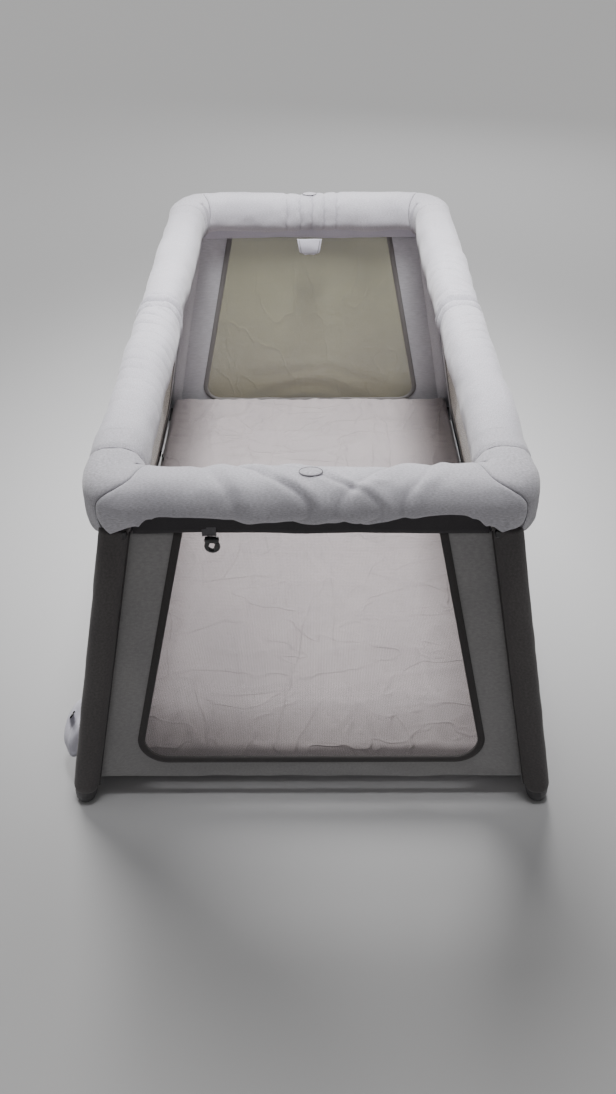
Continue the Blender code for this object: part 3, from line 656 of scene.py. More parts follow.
def short_sleeve(end, sy):
    """The short rail's sleeve, built as two mirrored quarters in one tube from cap to cap."""
    angles = [a - math.pi / 2 for a in turns(ROLL_STEPS)]
    rows = []
    count = int(2 * 0.235 / STEP)
    shares = [-1 + 2 * k / count for k in range(count + 1)]
    edge = [1 - d for d in (0.0012 / 0.235, 0.0028 / 0.235, 0.0050 / 0.235)]
    shares = sorted(set(shares + edge + [-s for s in edge]))
    for share in shares:
        row = []
        sx = 1 if share >= 0 else -1
        for angle in angles:
            limit = short_q(0) - seam_b(angle)
            x = abs(share) * limit
            pull = tucked(limit - x, *SEAM_TUCK)
            slim = 0.013 + 0.019 * bell(x - 0.200, 0.075) if sy < 0 else 0.004 + 0.004 * bell(x - 0.2, 0.05)
            point = roll_point(short_q(x), angle, sx, sy, pull, slim)
            patch = bell(point.x / 0.021, 1.0) * bell((point.y - sy * RAIL_Y) / 0.018, 1.0)
            if point.z > RAIL_Z:
                point.z += 0.0024 * patch
            row.append(point)
        rows.append(row)
    sleeve = surface(f"{end}_short_sleeve", rows, RAIL_CLOTH)
    carry((sleeve,), f"{end}_frame")
    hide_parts(f"{end}_short_rail_pad", f"{end}_release_housing")


def release_patches():
    """The stitched oval patch over each release button, which sinks with the button."""
    for end, sy in ENDS.items():
        low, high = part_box(f"{end}_release_button")
        half_x, half_y = (high[0] - low[0]) / 2, (high[1] - low[1]) / 2
        top = high[2] + 0.0026
        rows = []
        profile = [(1.0, -0.0075), (1.0, -0.0010), (0.97, -0.0003), (0.90, 0.0002), (0.6, 0.0007), (0.3, 0.0009)]
        for scale, rise in profile:
            rows.append([(half_x * scale * math.cos(a), sy * RAIL_Y + half_y * scale * math.sin(a), top + rise)
                         for a in turns(40)])
        patch = surface(f"{end}_release_patch", rows, CAP_CLOTH)
        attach(patch, f"{end}_button")
        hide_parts(f"{end}_release_button")
        loop = [(half_x * 1.02 * math.cos(a), sy * RAIL_Y + half_y * 1.04 * math.sin(a), top - 0.0003)
                for a in turns(40)]
        rim = tube(f"{end}_patch_stitch", loop, 0.0005, THREAD, 6, closed=True)
        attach(rim, f"{end}_button")


# ---------------------------------------------------------------- walls
class Plane:
    """A slanted wall of cloth. u runs along it, z is the height, and off moves it outwards."""

    def __init__(self, axis, sign):
        self.axis, self.sign = axis, sign
        run = (LEG_FOOT.y - LEG_TOP.y) if axis == "y" else (LEG_FOOT.x - LEG_TOP.x)
        slope = math.atan2(run, LEG_TOP.z)
        self.cos, self.sin = math.cos(slope), math.sin(slope)

    def at(self, u, z, off=0.0):
        """The point at u and z, moved outwards by off."""
        reach = (leg_y(z) if self.axis == "y" else leg_x(z)) + off * self.cos
        z = z + off * self.sin
        return Vector((u, self.sign * reach, z)) if self.axis == "y" else Vector((self.sign * reach, u, z))

    @property
    def outward(self):
        """The way the outside faces."""
        return Vector((0, self.sign, 0)) if self.axis == "y" else Vector((self.sign, 0, 0))

    def leg(self, z):
        """Distance from the middle of the wall to the leg's centre line."""
        return leg_x(z) if self.axis == "y" else leg_y(z)


class Window:
    """Outline of a window: a level foot, rounded lower corners and slanted sides."""

    def __init__(self, half_low, half_top, low, top, corner=WINDOW_CORNER):
        self.half_low, self.low, self.top, self.corner = half_low, low, top, corner
        self.run = (half_low - half_top) / (PANEL_TOP - low)
        self.lean = math.atan(self.run)
        self.centre = half_low - corner / math.tan((math.pi / 2 - self.lean) / 2)
        self.bend_top = low + corner + corner * math.sin(self.lean)

    def half(self, z):
        """Half width at a height."""
        if z < self.bend_top:
            rise = min(self.corner, max(-self.corner, z - self.low - self.corner))
            return self.centre + math.sqrt(self.corner ** 2 - rise ** 2)
        return self.half_low - self.run * (z - self.low)

    def loop(self):
        """Points (u, z, turn) from the top of one side, round the foot, to the top of the other side.
        turn is 0 on the foot, 1 on the sides, and grows round the corners between."""
        points = [(self.centre * k / 24, self.low, 0.0) for k in range(24)]
        for k in range(21):
            turn = k / 20
            angle = -math.pi / 2 + (math.pi / 2 + self.lean) * turn
            points.append((self.centre + self.corner * math.cos(angle),
                           self.low + self.corner * (1 + math.sin(angle)), turn))
        for k in range(1, 61):
            z = self.bend_top + (self.top - self.bend_top) * k / 60
            points.append((self.half(z), z, 1.0))
        return [(-u, z, turn) for u, z, turn in reversed(points[1:])] + points


def low_arcs(u, z, low):
    """Folds of a slack window, arching over its foot."""
    reach = math.hypot(u * 0.55, z - low + 0.02)
    fade = 1 - smooth(reach, 0.05, 0.20)
    return 0.0020 * fade * math.sin(2 * math.pi * (reach + 0.012 * wobble((u, z, 0), 12.0, 8.0)) / 0.055)


def slack(point, seed, amount):
    """How far cloth stands off its flat plane."""
    broad = wobble(point, 5.5, seed)
    fine = wobble(point, 17.0, seed + 4)
    return amount * (broad + 0.45 * fine)


def surround(name, plane, window, hem, tuck, material, seed, amount=0.0035):
    """The cloth round a window: down one side, across the foot and up the other."""
    rows = []
    layers = 12
    for u, z, turn in window.loop():
        side = 1 if u >= 0 else -1
        hem_wave = 0.005 * wobble((u * 1.0, seed, 0), 6.0, seed) + 0.002 * wobble((u, seed, 1), 24.0, seed)
        corner_u = side * (plane.leg(hem) - tuck)
        low_z = window.bend_top - 0.004
        if turn == 0:
            outer = (u, hem + hem_wave)
        elif turn < 0.5:
            outer = (u + (corner_u - u) * 2 * turn, hem + hem_wave)
        elif turn < 1:
            share = 2 * turn - 1
            outer_z = hem + hem_wave * (1 - share) + (low_z - hem) * share
            outer = (side * (plane.leg(outer_z) - tuck), outer_z)
        else:
            outer = (side * (plane.leg(z) - tuck), z)
        row = []
        for k in range(layers + 1):
            t = k / layers
            pu, pz = u + (outer[0] - u) * t, z + (outer[1] - z) * t
            fade = math.sin(math.pi * (0.06 + 0.88 * t))
            row.append(plane.at(pu, pz, slack(plane.at(pu, pz), seed, amount) * fade))
        rows.append(row)
    # The inside gets the paler cloth that is painted light.
    item = surface(name, rows, material, closed=False, thickness=CLOTH, inner_material=BACKLIT_INNER_CLOTH, outward=plane.outward)
    strip_size(rows)
    return item


def strip_size(rows):
    """Widest width and middle length of a strip of cloth that is cut to run round a window."""
    width = max(sum((b - a).length for a, b in zip(row, row[1:])) for row in rows)
    middles = [(row[0] + row[-1]) / 2 for row in rows]
    return width, sum((after - before).length for before, after in zip(middles, middles[1:]))


def band_dip(u, wave, seed):
    """How far a strip's lower edge rises and falls."""
    return wave * wobble((u, seed, 0), 6.0, seed) + 0.4 * wave * wobble((u, seed, 0), 22.0, seed)


def top_band(name, plane, half, low, high, material, seed, off_low=0.0, off_high=0.0, wave=0.003):
    """A strip of cloth under a rail, with a slightly wavy lower edge."""
    rows = []
    count = max(40, int(2 * half / 0.008))
    for k in range(count + 1):
        u = -half + 2 * half * k / count
        dip = band_dip(u, wave, seed)
        row = []
        for i in range(7):
            t = i / 6
            z = low + dip * (1 - t) + (high - low) * t
            off = off_low + (off_high - off_low) * t
            row.append(plane.at(u, z, off + 0.25 * dip * (1 - t)))
        rows.append(row)
    return surface(name, rows, material, closed=False, thickness=CLOTH)


def binding(name, plane, window, material=TAPE_CLOTH):
    """Tape sewn round a window's sides and foot."""
    loop = window.loop()
    section = [(-1, -0.5), (-0.9, -1), (0.9, -1), (1, -0.5), (1, 0.5), (0.9, 1), (0, 1.15), (-0.9, 1), (-1, 0.5)]
    rows = []
    for k, (u, z, _) in enumerate(loop):
        u0, z0 = loop[max(0, k - 1)][:2]
        u1, z1 = loop[min(len(loop) - 1, k + 1)][:2]
        du, dz = u1 - u0, z1 - z0
        length = math.hypot(du, dz)
        nu, nz = dz / length, -du / length
        rows.append([plane.at(u + nu * a * TAPE_HALF, z + nz * a * TAPE_HALF, b * TAPE_THICK)
                     for a, b in section])
    return surface(name, rows, material)


def window_net(name, plane, window, material, seed, billow, arcs=0.0):
    """The see-through mesh of a window, a little slack."""
    rows = []
    for i in range(49):
        t = i / 48
        z = window.low + 0.0005 + (window.top - window.low) * t ** 1.4
        half = window.half(z) + 0.002
        row = []
        for k in range(61):
            u = half * (-1 + 2 * k / 60)
            belly = max(0.0, math.sin(math.pi * t) * math.cos(math.pi / 2 * u / half))
            off = billow * belly + slack(plane.at(u, z), seed, 0.0022) * math.sqrt(belly)
            off += arcs * low_arcs(u, z, window.low) * math.sqrt(belly)
            row.append(plane.at(u, z, off))
        rows.append(row)
    return surface(name, rows, material, closed=False, thickness=0.0009)


FRONT_WINDOW = Window(WINDOW_HALF_LOW, WINDOW_HALF_TOP, WINDOW_LOW, PANEL_TOP - 0.004)
REAR_WINDOW = Window(WINDOW_HALF_LOW, WINDOW_HALF_TOP, REAR_WINDOW_LOW, PANEL_TOP - 0.004)
SIDE_WINDOW = Window(SIDE_WINDOW_HALF_LOW, SIDE_WINDOW_HALF_TOP, SIDE_WINDOW_LOW, PANEL_TOP - 0.004)


def end_walls():
    """Cloth, tape and mesh of the two end panels."""
    for end, sy in ENDS.items():
        plane = Plane("y", sy)
        front = sy < 0
        window = FRONT_WINDOW if front else REAR_WINDOW
        cloth = surround(f"{end}_panel_cloth", plane, window, END_HEM, 0.016, STRIP_CLOTH, 2.0 + sy)
        net_piece = window_net(f"{end}_window_net", plane, window, FRONT_NET if front else REAR_NET, 5.0, -0.004,
                               0.0 if front else 1.0)
        tape = binding(f"{end}_window_tape", plane, window, TAPE_CLOTH if front else INNER_TAPE)
        # The front band's near-black cloth is painted shade under its rail, and the rear band's pale cloth is
        # painted light; both stand for the same panel cloth.
        band = top_band(f"{end}_top_band", plane, leg_x(PANEL_TOP) - 0.026, PANEL_TOP - 0.004, 0.600,
                        SHADED_BAND_CLOTH if front else HEM_CLOTH, 7.0 + sy,
                        0.0030 if front else -0.0030, 0.016 if front else -0.020)
        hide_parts(f"{end}_panel")
        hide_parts(f"{end}_window")
        carry((cloth, tape, band), f"{end}_frame")
        carry((net_piece,), f"{end}_frame")


def side_walls():
    """Cloth, tape and mesh of the two long walls."""
    for side, sx in SIDES.items():
        plane = Plane("x", sx)
        left = sx < 0
        cloth = surround(f"{side}_wall_cloth", plane, SIDE_WINDOW, SIDE_HEM, 0.020, STRIP_CLOTH, 12.0 + sx,
                         0.0060 if left else 0.0035)
        net_piece = window_net(f"{side}_wall_net", plane, SIDE_WINDOW, SIDE_NET, 15.0 + sx, -0.006)
        tape = binding(f"{side}_wall_tape", plane, SIDE_WINDOW, INNER_TAPE)
        band = top_band(f"{side}_wall_band", plane, leg_y(PANEL_TOP) - 0.03, 0.500, 0.566, HEM_CLOTH, 20.0 + sx,
                        -0.010 if left else -0.006, -0.006, 0.010 if left else 0.004)
        edge = [plane.at(u, 0.500 + band_dip(u, 0.010 if left else 0.004, 20.0 + sx),
                         (-0.010 if left else -0.006) - 0.0022) for u in np.linspace(-0.49, 0.49, 120)]
        trim = tube(f"{side}_wall_trim", edge, 0.0017, INNER_TAPE, 8)
        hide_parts(f"{side}_wall")
        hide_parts(f"{side}_wall_window")
        carry((cloth, tape, band, trim), "front_frame", FOLD_ANCHOR)
        carry((net_piece,), "front_frame", FOLD_ANCHOR)


# ---------------------------------------------------------------- legs
def legs():
    """Cloth sleeve, piping, bracket foot and inner corner cover of each leg."""
    for end, sy in ENDS.items():
        for side, sx in SIDES.items():
            tag = f"{end}_{side}"
            rows = []
            top, low = 0.566, 0.030
            count = 110
            for i in range(count + 1):
                z = low + (top - low) * i / count
                t = (z - low) / (top - low)
                centre = Vector((sx * leg_x(z), sy * leg_y(z), z))
                half_x = 0.0232 - 0.0012 * t
                half_y = 0.0232 + 0.0012 * t
                row = []
                for a in turns(40):
                    share = 2 / LEG_POWER
                    shape = Vector((sx * half_x * signed_power(math.cos(a), share),
                                    sy * half_y * signed_power(math.sin(a), share), 0))
                    point = centre + shape
                    soft = 0.0007 * wobble(point, 26.0, 8.0)
                    soft += 0.0006 * wobble((point.x, point.y, point.z * 0.3), 60.0)
                    pinch = -0.0035 * bell((z - low) / 0.008, 1.0)
                    row.append(point + shape.normalized() * (soft + pinch))
                rows.append(row)
            cloth = surface(f"{tag}_leg_cloth", rows, LEG_CLOTH)
            piping_points = []
            for i in range(60):
                z = low + 0.01 + (0.545 - low) * i / 59
                piping_points.append((sx * (leg_x(z) - 0.0222), sy * (leg_y(z) + 0.0085), z))
            piping = tube(f"{tag}_piping", piping_points, 0.0016, TAPE_CLOTH, 8)
            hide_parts(f"{tag}_leg_sleeve")
            carry((cloth, piping), f"{end}_frame")
            bracket_foot(tag, end, sx, sy)
            corner_lining(tag, end, sx, sy)


def bracket_foot(tag, end, sx, sy):
    """The moulded bracket's black foot, just seen between the cap's hem and the leg."""
    centre = Vector((sx * 0.2685, sy * 0.5485, 0.5590))
    half = Vector((0.0125, 0.0065, 0.0075))
    rows = []
    for depth, scale in ((-1, 0.86), (-0.8, 0.97), (-0.4, 1.0), (0.4, 1.0), (0.8, 0.97), (1, 0.86)):
        rows.append([centre + Vector((half.x * scale * signed_power(math.cos(a), 0.45), half.y * depth,
                                      half.z * scale * signed_power(math.sin(a), 0.45)))
                     for a in turns(32)])
    foot = surface(f"{tag}_bracket_foot", rows, BLACK)
    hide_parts(f"{tag}_bracket")
    carry((foot,), f"{end}_frame")


def corner_lining(tag, end, sx, sy):
    """The cloth that covers a leg from inside, between the end panel and the long wall, in the walls' paler inner
    colour, which is painted light.
    """
    rows = []
    low, high = 0.054, 0.546
    radius = 0.0265
    for i in range(61):
        z = low + (high - low) * i / 60
        row = []
        for k in range(13):
            a = math.radians(183 + 84 * k / 12)
            soft = 1 + 0.05 * wobble((a, z * 6, sx), 1.5, 44.0 + sy)
            x, y = leg_x(z) + radius * soft * math.cos(a), leg_y(z) + radius * soft * math.sin(a)
            row.append(Vector((sx * x, sy * y, z)))
        rows.append(row)
    # Its pale colour is painted light, the same as on the walls' inner faces.
    cover = surface(f"{tag}_corner_lining", rows, BACKLIT_INNER_CLOTH, closed=False, thickness=0.0012)
    carry((cover,), f"{end}_frame")
    strip_size(rows)


# ---------------------------------------------------------------- mattress and floor
def rounded_slab(name, low, high, rounding, material, lift, rows_count=250, top_count=150):
    """A soft slab: an oval section swept along Y, closed by rounded ends."""
    low, high = Vector(low), Vector(high)
    centre, half = (low + high) / 2, (high - low) / 2
    rows = []
    ends = 9
    along = [half.y - rounding + rounding * math.sin(math.pi / 2 * k / ends) for k in range(ends + 1)]
    middle = [(half.y - rounding) * (-1 + 2 * k / rows_count) for k in range(1, rows_count)]
    for y in [-v for v in reversed(along)] + middle + along:
        rest = max(0.0, abs(y) - (half.y - rounding))
        inset = rounding - math.sqrt(max(0.0, rounding ** 2 - rest ** 2))
        hx, hz = half.x - inset, half.z - min(inset, half.z * 0.98)
        r = min(rounding, hz) * 0.999
        section = []
        for k in range(top_count + 1):
            section.append((-(hx - r) + 2 * (hx - r) * k / top_count, hz))
        for k in range(1, 10):
            a = math.pi / 2 - math.pi * k / 10
            section.append((hx - r + r * math.cos(a), hz * math.sin(a)))
        for k in range(top_count // 2 + 1):
            section.append(((hx - r) - 2 * (hx - r) * k / (top_count // 2), -hz))
        for k in range(1, 10):
            a = -math.pi / 2 - math.pi * k / 10
            section.append((-(hx - r) + r * math.cos(a), hz * math.sin(a)))
        row = []
        for x, z in section:
            point = centre + Vector((x, y, z))
            row.append(point + Vector((0, 0, lift(point) if z > 0 else 0.0)))
        rows.append(row)
    return surface(name, rows, material)


def hand_wrinkles(x, y):
    """Folds in the fitted sheet: slack ones across the bed and short gathers at its edges."""
    edge_x = smooth(abs(x), MATTRESS_HIGH[0] - 0.12, MATTRESS_HIGH[0] - 0.01)
    edge_y = smooth(abs(y), MATTRESS_HIGH[1] - 0.14, MATTRESS_HIGH[1] - 0.01)
    broad = 0.0026 * wobble((x, y * 0.6, 0), 5.0, 31.0)
    gather_x = edge_x * 0.0008 * math.sin(2 * math.pi * (y + 0.02 * wobble((x, y, 0), 9.0)) / 0.034)
    gather_y = edge_y * 0.0009 * math.sin(2 * math.pi * (x + 0.03 * wobble((x, y, 1), 7.0)) / 0.041)
    bend = 0.03 * wobble((x, y, 0), 4.0, 33.0)
    long_fold = (1 - abs(wobble(((x + bend) * 1.5, (y - bend) * 0.5, 0), 11.0, 35.0))) ** 7
    cross_fold = (1 - abs(wobble(((x + bend) * 0.5, (y + bend) * 1.4, 0), 9.0, 37.0))) ** 8
    fine = 0.0004 * wobble((x, y, 0), 75.0, 39.0)
    return broad + gather_x + gather_y + 0.0030 * long_fold + 0.0026 * cross_fold + fine


def blurred(values, times):
    """A grid of values, smoothed over and over."""
    values = values.copy()
    for _ in range(times):
        values[1:-1] = (values[:-2] + 2 * values[1:-1] + values[2:]) / 4
        values[:, 1:-1] = (values[:, :-2] + 2 * values[:, 1:-1] + values[:, 2:]) / 4
    return values


def sheet_heights(half_x, half_y):
    """Heights of the sheet's top on a grid. The cloth is cut a little large and held at its edge, so
    the simulation buckles it into wrinkles."""
    nx, ny = SHEET_GRID
    xs = np.linspace(-half_x, half_x, nx)
    ys = np.linspace(-half_y, half_y, ny)
    points = [(x, y, 0.0010 * wobble((x, y, 0), 14.0, 35.0)) for y in ys for x in xs]
    faces = [(j * nx + i, j * nx + i + 1, (j + 1) * nx + i + 1, (j + 1) * nx + i)
             for j in range(ny - 1) for i in range(nx - 1)]
    mesh = bpy.data.meshes.new("sheet_cloth")
    mesh.from_pydata(points, [], faces)
    item = bpy.data.objects.new("sheet_cloth", mesh)
    bpy.context.scene.collection.objects.link(item)
    edge = item.vertex_groups.new(name="edge")
    edge.add([k for k in range(nx * ny) if k % nx in (0, nx - 1) or k // nx in (0, ny - 1)], 1.0, "REPLACE")
    loose = item.vertex_groups.new(name="loose")
    for k, (x, y, _) in enumerate(points):
        loose.add([k], smooth(wobble((x, y, 0), 3.5, 36.0), -0.45, 0.35), "REPLACE")
    cloth = item.modifiers.new("cloth", "CLOTH")
    cloth.settings.quality = 5
    cloth.settings.mass = 0.15
    cloth.settings.tension_stiffness = 25
    cloth.settings.compression_stiffness = 25
    cloth.settings.shear_stiffness = 8
    cloth.settings.bending_stiffness = 0.06
    cloth.settings.air_damping = 4
    cloth.settings.vertex_group_mass = "edge"
    cloth.settings.vertex_group_shrink = "loose"
    cloth.settings.shrink_min = -0.004
    cloth.settings.shrink_max = -0.022
    cloth.collision_settings.use_collision = True
    cloth.collision_settings.distance_min = 0.001
    base_mesh = bpy.data.meshes.new("sheet_base")
    reach = 1.0
    base_mesh.from_pydata([(-reach, -reach, -0.003), (reach, -reach, -0.003), (reach, reach, -0.003),
                           (-reach, reach, -0.003)], [], [(0, 1, 2, 3)])
    base = bpy.data.objects.new("sheet_base", base_mesh)
    bpy.context.scene.collection.objects.link(base)
    base.modifiers.new("collision", "COLLISION")
    cloth.point_cache.frame_end = SHEET_FRAMES
    for number in range(1, SHEET_FRAMES + 1):
        bpy.context.scene.frame_set(number)
    settled = item.evaluated_get(bpy.context.evaluated_depsgraph_get()).data
    heights = np.array([vertex.co.z for vertex in settled.vertices]).reshape(ny, nx)
    bpy.data.objects.remove(item)
    bpy.data.objects.remove(base)
    bpy.context.scene.frame_set(1)
    wrinkles = blurred(heights, 2) - blurred(heights, 50)
    return xs, ys, np.clip(wrinkles * SHEET_WRINKLE / wrinkles.std(), -3 * SHEET_WRINKLE, 4 * SHEET_WRINKLE)


def bed():
    """The mattress in its fitted sheet, and the floor sheet under it."""
    spare = Vector((0.0045, 0.0040, 0.0))
    low = Vector(MATTRESS_LOW) - spare
    high = Vector(MATTRESS_HIGH) + spare + Vector((0, 0, 0.0030))
    xs, ys, heights = sheet_heights(high.x, high.y)

    def lift(point):
        i = min(len(xs) - 2, max(0, int((point.x - xs[0]) / (xs[1] - xs[0]))))
        j = min(len(ys) - 2, max(0, int((point.y - ys[0]) / (ys[1] - ys[0]))))
        s = min(1.0, max(0.0, (point.x - xs[i]) / (xs[1] - xs[0])))
        t = min(1.0, max(0.0, (point.y - ys[j]) / (ys[1] - ys[0])))
        row = heights[j][i] * (1 - s) + heights[j][i + 1] * s
        after = heights[j + 1][i] * (1 - s) + heights[j + 1][i + 1] * s
        return row * (1 - t) + after * t + hand_wrinkles(point.x, point.y) - 0.002

    pad = rounded_slab("mattress_in_sheet", low, high, 0.019, SHEET_CLOTH, lift)
    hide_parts("mattress")
    carry((pad,), "mattress", BED_ANCHOR)

    rows = []
    floor_low, floor_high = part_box("floor_sheet")
    for i in range(61):
        y = floor_low[1] + (floor_high[1] - floor_low[1]) * i / 60
        row = []
        for k in range(41):
            x = floor_low[0] + (floor_high[0] - floor_low[0]) * k / 40
            row.append((x, y, (floor_low[2] + floor_high[2]) / 2 + 0.0012 * wobble((x, y, 0), 9.0, 41.0)))
        rows.append(row)
    under = surface("floor_cloth_sheet", rows, FLOOR_CLOTH, closed=False, thickness=0.0016)
    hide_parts("floor_sheet")
    carry((under,), "front_frame", BED_ANCHOR)


# ---------------------------------------------------------------- small pieces
def ribbon(name, points, across, half, thick, material):
    """A flat band through points, across a direction."""
    points = [Vector(p) for p in points]
    across = Vector(across).normalized()
    rows = []
    for i, point in enumerate(points):
        tangent = (points[min(i + 1, len(points) - 1)] - points[max(i - 1, 0)]).normalized()
        normal = tangent.cross(across).normalized()
        section = [(-1, -0.4), (-0.92, -1), (0.92, -1), (1, -0.4), (1, 0.4), (0.92, 1), (-0.92, 1), (-1, 0.4)]
        rows.append([point + across * a * half + normal * b * thick / 2 for a, b in section])
    return surface(name, rows, material)


def hanging_strap():
    """Webbing with a folded end, and the glossy clip on it."""
    low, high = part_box("strap_webbing")
    x, top = (low[0] + high[0]) / 2, high[2]
    plane = Plane("y", -1)
    drop = top - low[2]
    points = [plane.at(x, top + 0.006 - (drop + 0.007) * k / 14, 0.0045 + 0.0020 * math.sin(math.pi * k / 14))
              for k in range(15)]
    band = ribbon("hanging_strap", points, (1, 0, 0.05), 0.0068, 0.0016, WEBBING)
    fold_points = [plane.at(x - 0.008, top + 0.006 - 0.022 * k / 8, 0.0032 + 0.0022 * math.sin(math.pi * k / 8))
                   for k in range(9)]
    tail = ribbon("hanging_strap_tail", fold_points, (1, 0, 0.2), 0.0058, 0.0015, WEBBING)
    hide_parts("strap_webbing")
    clip_low, clip_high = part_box("strap_clip")
    centre_z = clip_low[2] + (clip_high[0] - clip_low[0]) / 2
    middle = plane.at(x, centre_z, 0.0060)
    half = (clip_high[0] - clip_low[0]) / 2
    rows = []
    for a in turns(40):
        stretch = 1.0 + 0.55 * max(0.0, math.sin(a)) ** 2
        centre = middle + Vector((half * 0.68 * math.cos(a), 0, half * 0.68 * math.sin(a) * stretch))
        out = Vector((math.cos(a), 0, math.sin(a)))
        rows.append([centre + out * 0.0034 * math.cos(b) + Vector((0, 1, 0)) * 0.0036 * math.sin(b)
                     for b in turns(16)])
    rows.append(rows[0])
    clip = surface("hanging_clip", rows, BLACK, caps=False)
    bar_points = [middle + Vector((half * (0.62 - 0.34 * t), -0.0012, half * (0.70 - 1.25 * t))) for t in
                  (k / 10 for k in range(11))]
    gate = tube("hanging_clip_gate", bar_points, 0.0024, BLACK, 12)
    block_rows = []
    for depth, scale in ((-1, 0.8), (-0.7, 1.0), (0.7, 1.0), (1, 0.8)):
        block_rows.append([middle + Vector((half * 0.86 * scale * signed_power(math.cos(a), 0.5), 0.0040 * depth,
                                            half * (1.02 + 0.34 * scale * signed_power(math.sin(a), 0.5))))
                           for a in turns(28)])
    block = surface("hanging_clip_block", block_rows, BLACK)
    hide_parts("strap_clip")
    carry((band, tail), "strap")
    carry((clip, gate, block), "strap")


def tab():
    """The fabric pull tab under the rear rail."""
    low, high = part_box("pull_tab")
    low = (low[0], low[1], low[2] + 0.007)
    y = (low[1] + high[1]) / 2
    rows = []
    for i in range(25):
        t = i / 24
        z = high[2] - (high[2] - low[2]) * t
        half = 0.0285 - 0.0065 * t - 0.012 * smooth(t, 0.72, 1.0) ** 2
        bow = -0.0035 * math.sin(math.pi * t)
        row = []
        for k in range(25):
            x = half * (-1 + 2 * k / 24)
            row.append((x, y + bow + 0.0012 * wobble((x, z, 0), 45.0, 51.0), z - 0.0018 * (x / half) ** 2 * t))
        rows.append(row)
    cloth = surface("pull_tab_cloth", rows, HEM_CLOTH, closed=False, thickness=0.0034)
    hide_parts("pull_tab")
    border = []
    for i in range(25):
        t = i / 24 * 0.90
        half = 0.0285 - 0.0065 * t - 0.0045
        border.append((-half, y - 0.0032 - 0.0035 * math.sin(math.pi * t), high[2] - (high[2] - low[2]) * t))
    turn = [(p[0] * -1, p[1], p[2]) for p in reversed(border)]
    stitch = tube("pull_tab_stitch", border + turn, 0.0006, THREAD, 6)
    carry((cloth, stitch), "pull_tab")


def zip_pieces():
    """The zip along the foot of the left wall, its slider and pull."""
    low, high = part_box("zip_slider")
    centre = (Vector(low) + Vector(high)) / 2
    rows = []
    for k in range(13):
        t = k / 12
        half = 0.0055 - 0.0018 * abs(2 * t - 1)
        z = low[2] + (high[2] - low[2]) * t
        lean = -(z - centre.z) * (LEG_FOOT.x - LEG_TOP.x) / LEG_TOP.z
        rows.append([(centre.x - lean + 0.0024 * math.cos(a), centre.y + half * math.sin(a), z)
                     for a in turns(20)])
    slider = surface("zip_slider_body", rows, BLACK)
    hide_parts("zip_slider")
    pull_points = [centre + Vector((0.0040 + 0.004 * t, -0.002 - 0.010 * t, -0.002 - 0.008 * t))
                   for t in (k / 10 for k in range(11))]
    pull = ribbon("zip_pull", pull_points, (0.2, 0.4, 1), 0.0030, 0.0016, BLACK)
    plane = Plane("x", -1)
    length = JOINTS["zip_slide"]["range_m"]
    start, stop = centre.y + length[0], centre.y + length[1]
    track_points = [plane.at(start + (stop - start) * k / 120, centre.z, -0.0026) for k in range(121)]
    track = ribbon("zip_track", track_points, (0, 0, 1), 0.0042, 0.0014, TAPE_CLOTH)
    carry((slider, pull), "zip_slider", FOLD_ANCHOR)
    carry((track,), "front_frame", FOLD_ANCHOR)


def door_flap():
    """The bunched end of the zipped door, outside the left wall near the front leg."""
    centre = Vector((-0.414, -0.520, 0.080))
    rows = []
    for i in range(41):
        t = -1 + 2 * i / 40
        fat = math.sqrt(max(0.0, 1 - abs(t) ** 2.6))
        row = []
        for a in turns(48):
            point = centre + Vector((0.020 * fat * math.cos(a), 0.060 * t, 0.030 * fat * math.sin(a)))
            fold = 0.0040 * math.sin(3 * a + 5 * t) * fat + 0.0028 * wobble(point, 45.0, 61.0) * fat
            row.append(point + Vector((math.cos(a), 0, math.sin(a))) * fold)
        rows.append(row)
    flap = surface("door_flap", rows, HEM_CLOTH)
    carry((flap,), "front_frame", FOLD_ANCHOR)
    end_points = [centre + Vector((-0.012 + 0.010 * t, 0.006 - 0.02 * t, 0.026 + 0.024 * t))
                  for t in (k / 12 for k in range(13))]
    strap = ribbon("door_flap_strap", end_points, (0.3, 1, 0), 0.0075, 0.0018, HEM_CLOTH)
    tip = ribbon("door_flap_strap_edge", [end_points[-2] + Vector((0.0008, 0, 0.0008)), end_points[-1] +
                                          Vector((0.0008, 0, 0.002))], (0.3, 1, 0), 0.0078, 0.0030, BLACK)
    carry((strap,), "front_frame", FOLD_ANCHOR)
    carry((tip,), "front_frame", FOLD_ANCHOR)


def frame_finishes():
    """Materials of the rigid pieces that stay in view."""
    for name, item in frame["nodes"].items():
        if name.endswith("tube"):
            finish = ALUMINIUM
        elif name.endswith("pin"):
            finish = STEEL
        elif name.endswith("channel"):
            finish = BLACK
        else:
            finish = GREY
        item.data.materials.clear()
        item.data.materials.append(finish)


# ---------------------------------------------------------------- stage, light and camera
IMAGE_HEIGHT = 1094
FOCAL_PIXELS = 850             # focal length for an image of that height
CAMERA_PLACE = Vector((-0.0018, -1.4487, 1.3279))
CAMERA_PITCH = math.radians(90 - 41.482)
CAMERA_YAW = 0.0026
CAMERA_ROLL = -0.0047


def add_camera():
    """A camera at the height and tilt of a person standing at the front end."""
    data = bpy.data.cameras.new("camera")
    data.sensor_width = 36.0
    data.lens = FOCAL_PIXELS / IMAGE_HEIGHT * data.sensor_width
    camera = bpy.data.objects.new("camera", data)
    turn = Matrix.Rotation(CAMERA_YAW, 4, "Z") @ Matrix.Rotation(CAMERA_PITCH, 4, "X") @ \
        Matrix.Rotation(CAMERA_ROLL, 4, "Z")
    camera.matrix_world = Matrix.Translation(CAMERA_PLACE) @ turn
    bpy.context.scene.collection.objects.link(camera)
    bpy.context.scene.camera = camera


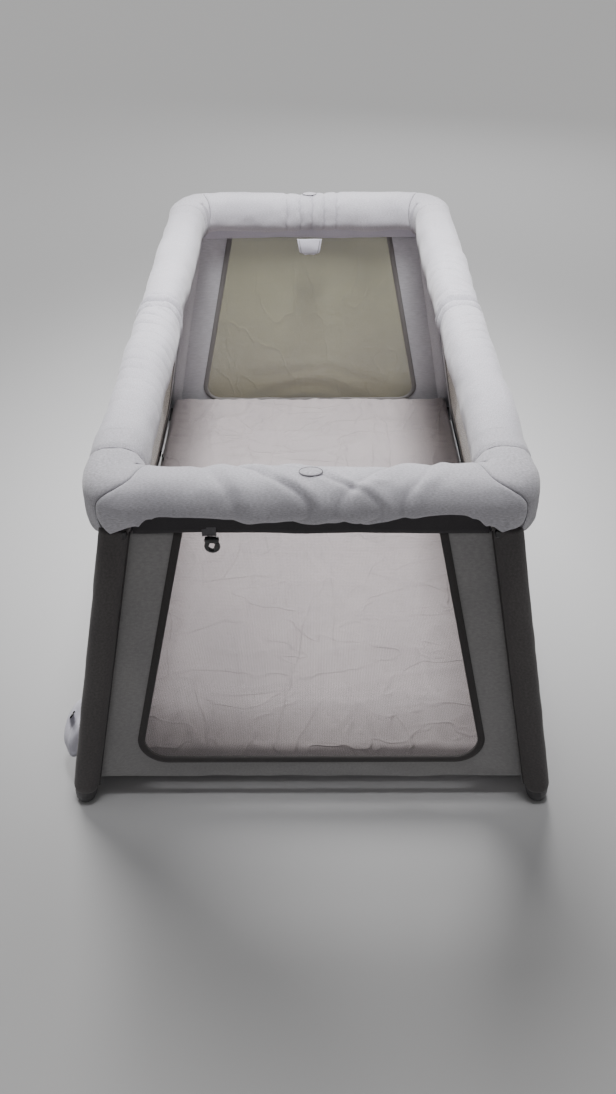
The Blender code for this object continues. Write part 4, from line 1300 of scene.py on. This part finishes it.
def add_light(name, place, target, size, power, colour, spread=180):
    """A soft square light aimed at a point, with its spread in degrees."""
    data = bpy.data.lights.new(name, "AREA")
    data.shape = "SQUARE"
    data.size = size
    data.energy = power
    data.color = colour
    data.spread = math.radians(spread)
    light = bpy.data.objects.new(name, data)
    aim = (Vector(target) - Vector(place)).to_track_quat("-Z", "Y").to_matrix().to_4x4()
    light.matrix_world = Matrix.Translation(place) @ aim
    bpy.context.scene.collection.objects.link(light)


def add_stage():
    """A pale floor and a pale surround."""
    mesh = bpy.data.meshes.new("stage_floor")
    size = 40.0
    mesh.from_pydata([(-size, -size, 0), (size, -size, 0), (size, size, 0), (-size, size, 0)], [], [(0, 1, 2, 3)])
    material, tree, shader = new_material("stage_paint", 0.95)
    shader.inputs["Base Color"].default_value = (0.55, 0.55, 0.555, 1.0)
    mesh.materials.append(material)
    floor = bpy.data.objects.new("stage_floor", mesh)
    bpy.context.scene.collection.objects.link(floor)
    world = bpy.data.worlds.new("surround")
    world.use_nodes = True
    tree = world.node_tree
    background = tree.nodes["Background"]
    background.inputs["Color"].default_value = (1.0, 1.0, 1.0, 1.0)
    direction = add_node(tree, "SeparateXYZ", {}, tree.nodes.new("ShaderNodeTexCoord").outputs["Generated"])
    strength = ranged(tree, direction.outputs["Y"], -0.8, 0.9, 0.13, 0.32)
    tree.links.new(strength, background.inputs["Strength"])
    bpy.context.scene.world = world
    sun = bpy.data.lights.new("key", "SUN")
    sun.energy = 2.45
    sun.angle = math.radians(26)
    sun.color = (1.0, 0.99, 0.975)
    key = bpy.data.objects.new("key", sun)
    key.matrix_world = Vector((0.42, -1.62, -1.85)).to_track_quat("-Z", "Y").to_matrix().to_4x4()
    bpy.context.scene.collection.objects.link(key)
    add_light("back", (0.6, 2.9, 1.8), (0, 0.2, 0.5), 1.6, 20, (0.97, 0.98, 1.0))
    add_light("over", (0.05, -0.34, 2.5), (0, 0.26, 0.2), 0.5, 10, (0.99, 0.99, 1.0), 52)


add_camera()
add_stage()
frame_finishes()
top_rails()
release_patches()
end_walls()
side_walls()
legs()
bed()
hanging_strap()
tab()
zip_pieces()
door_flap()
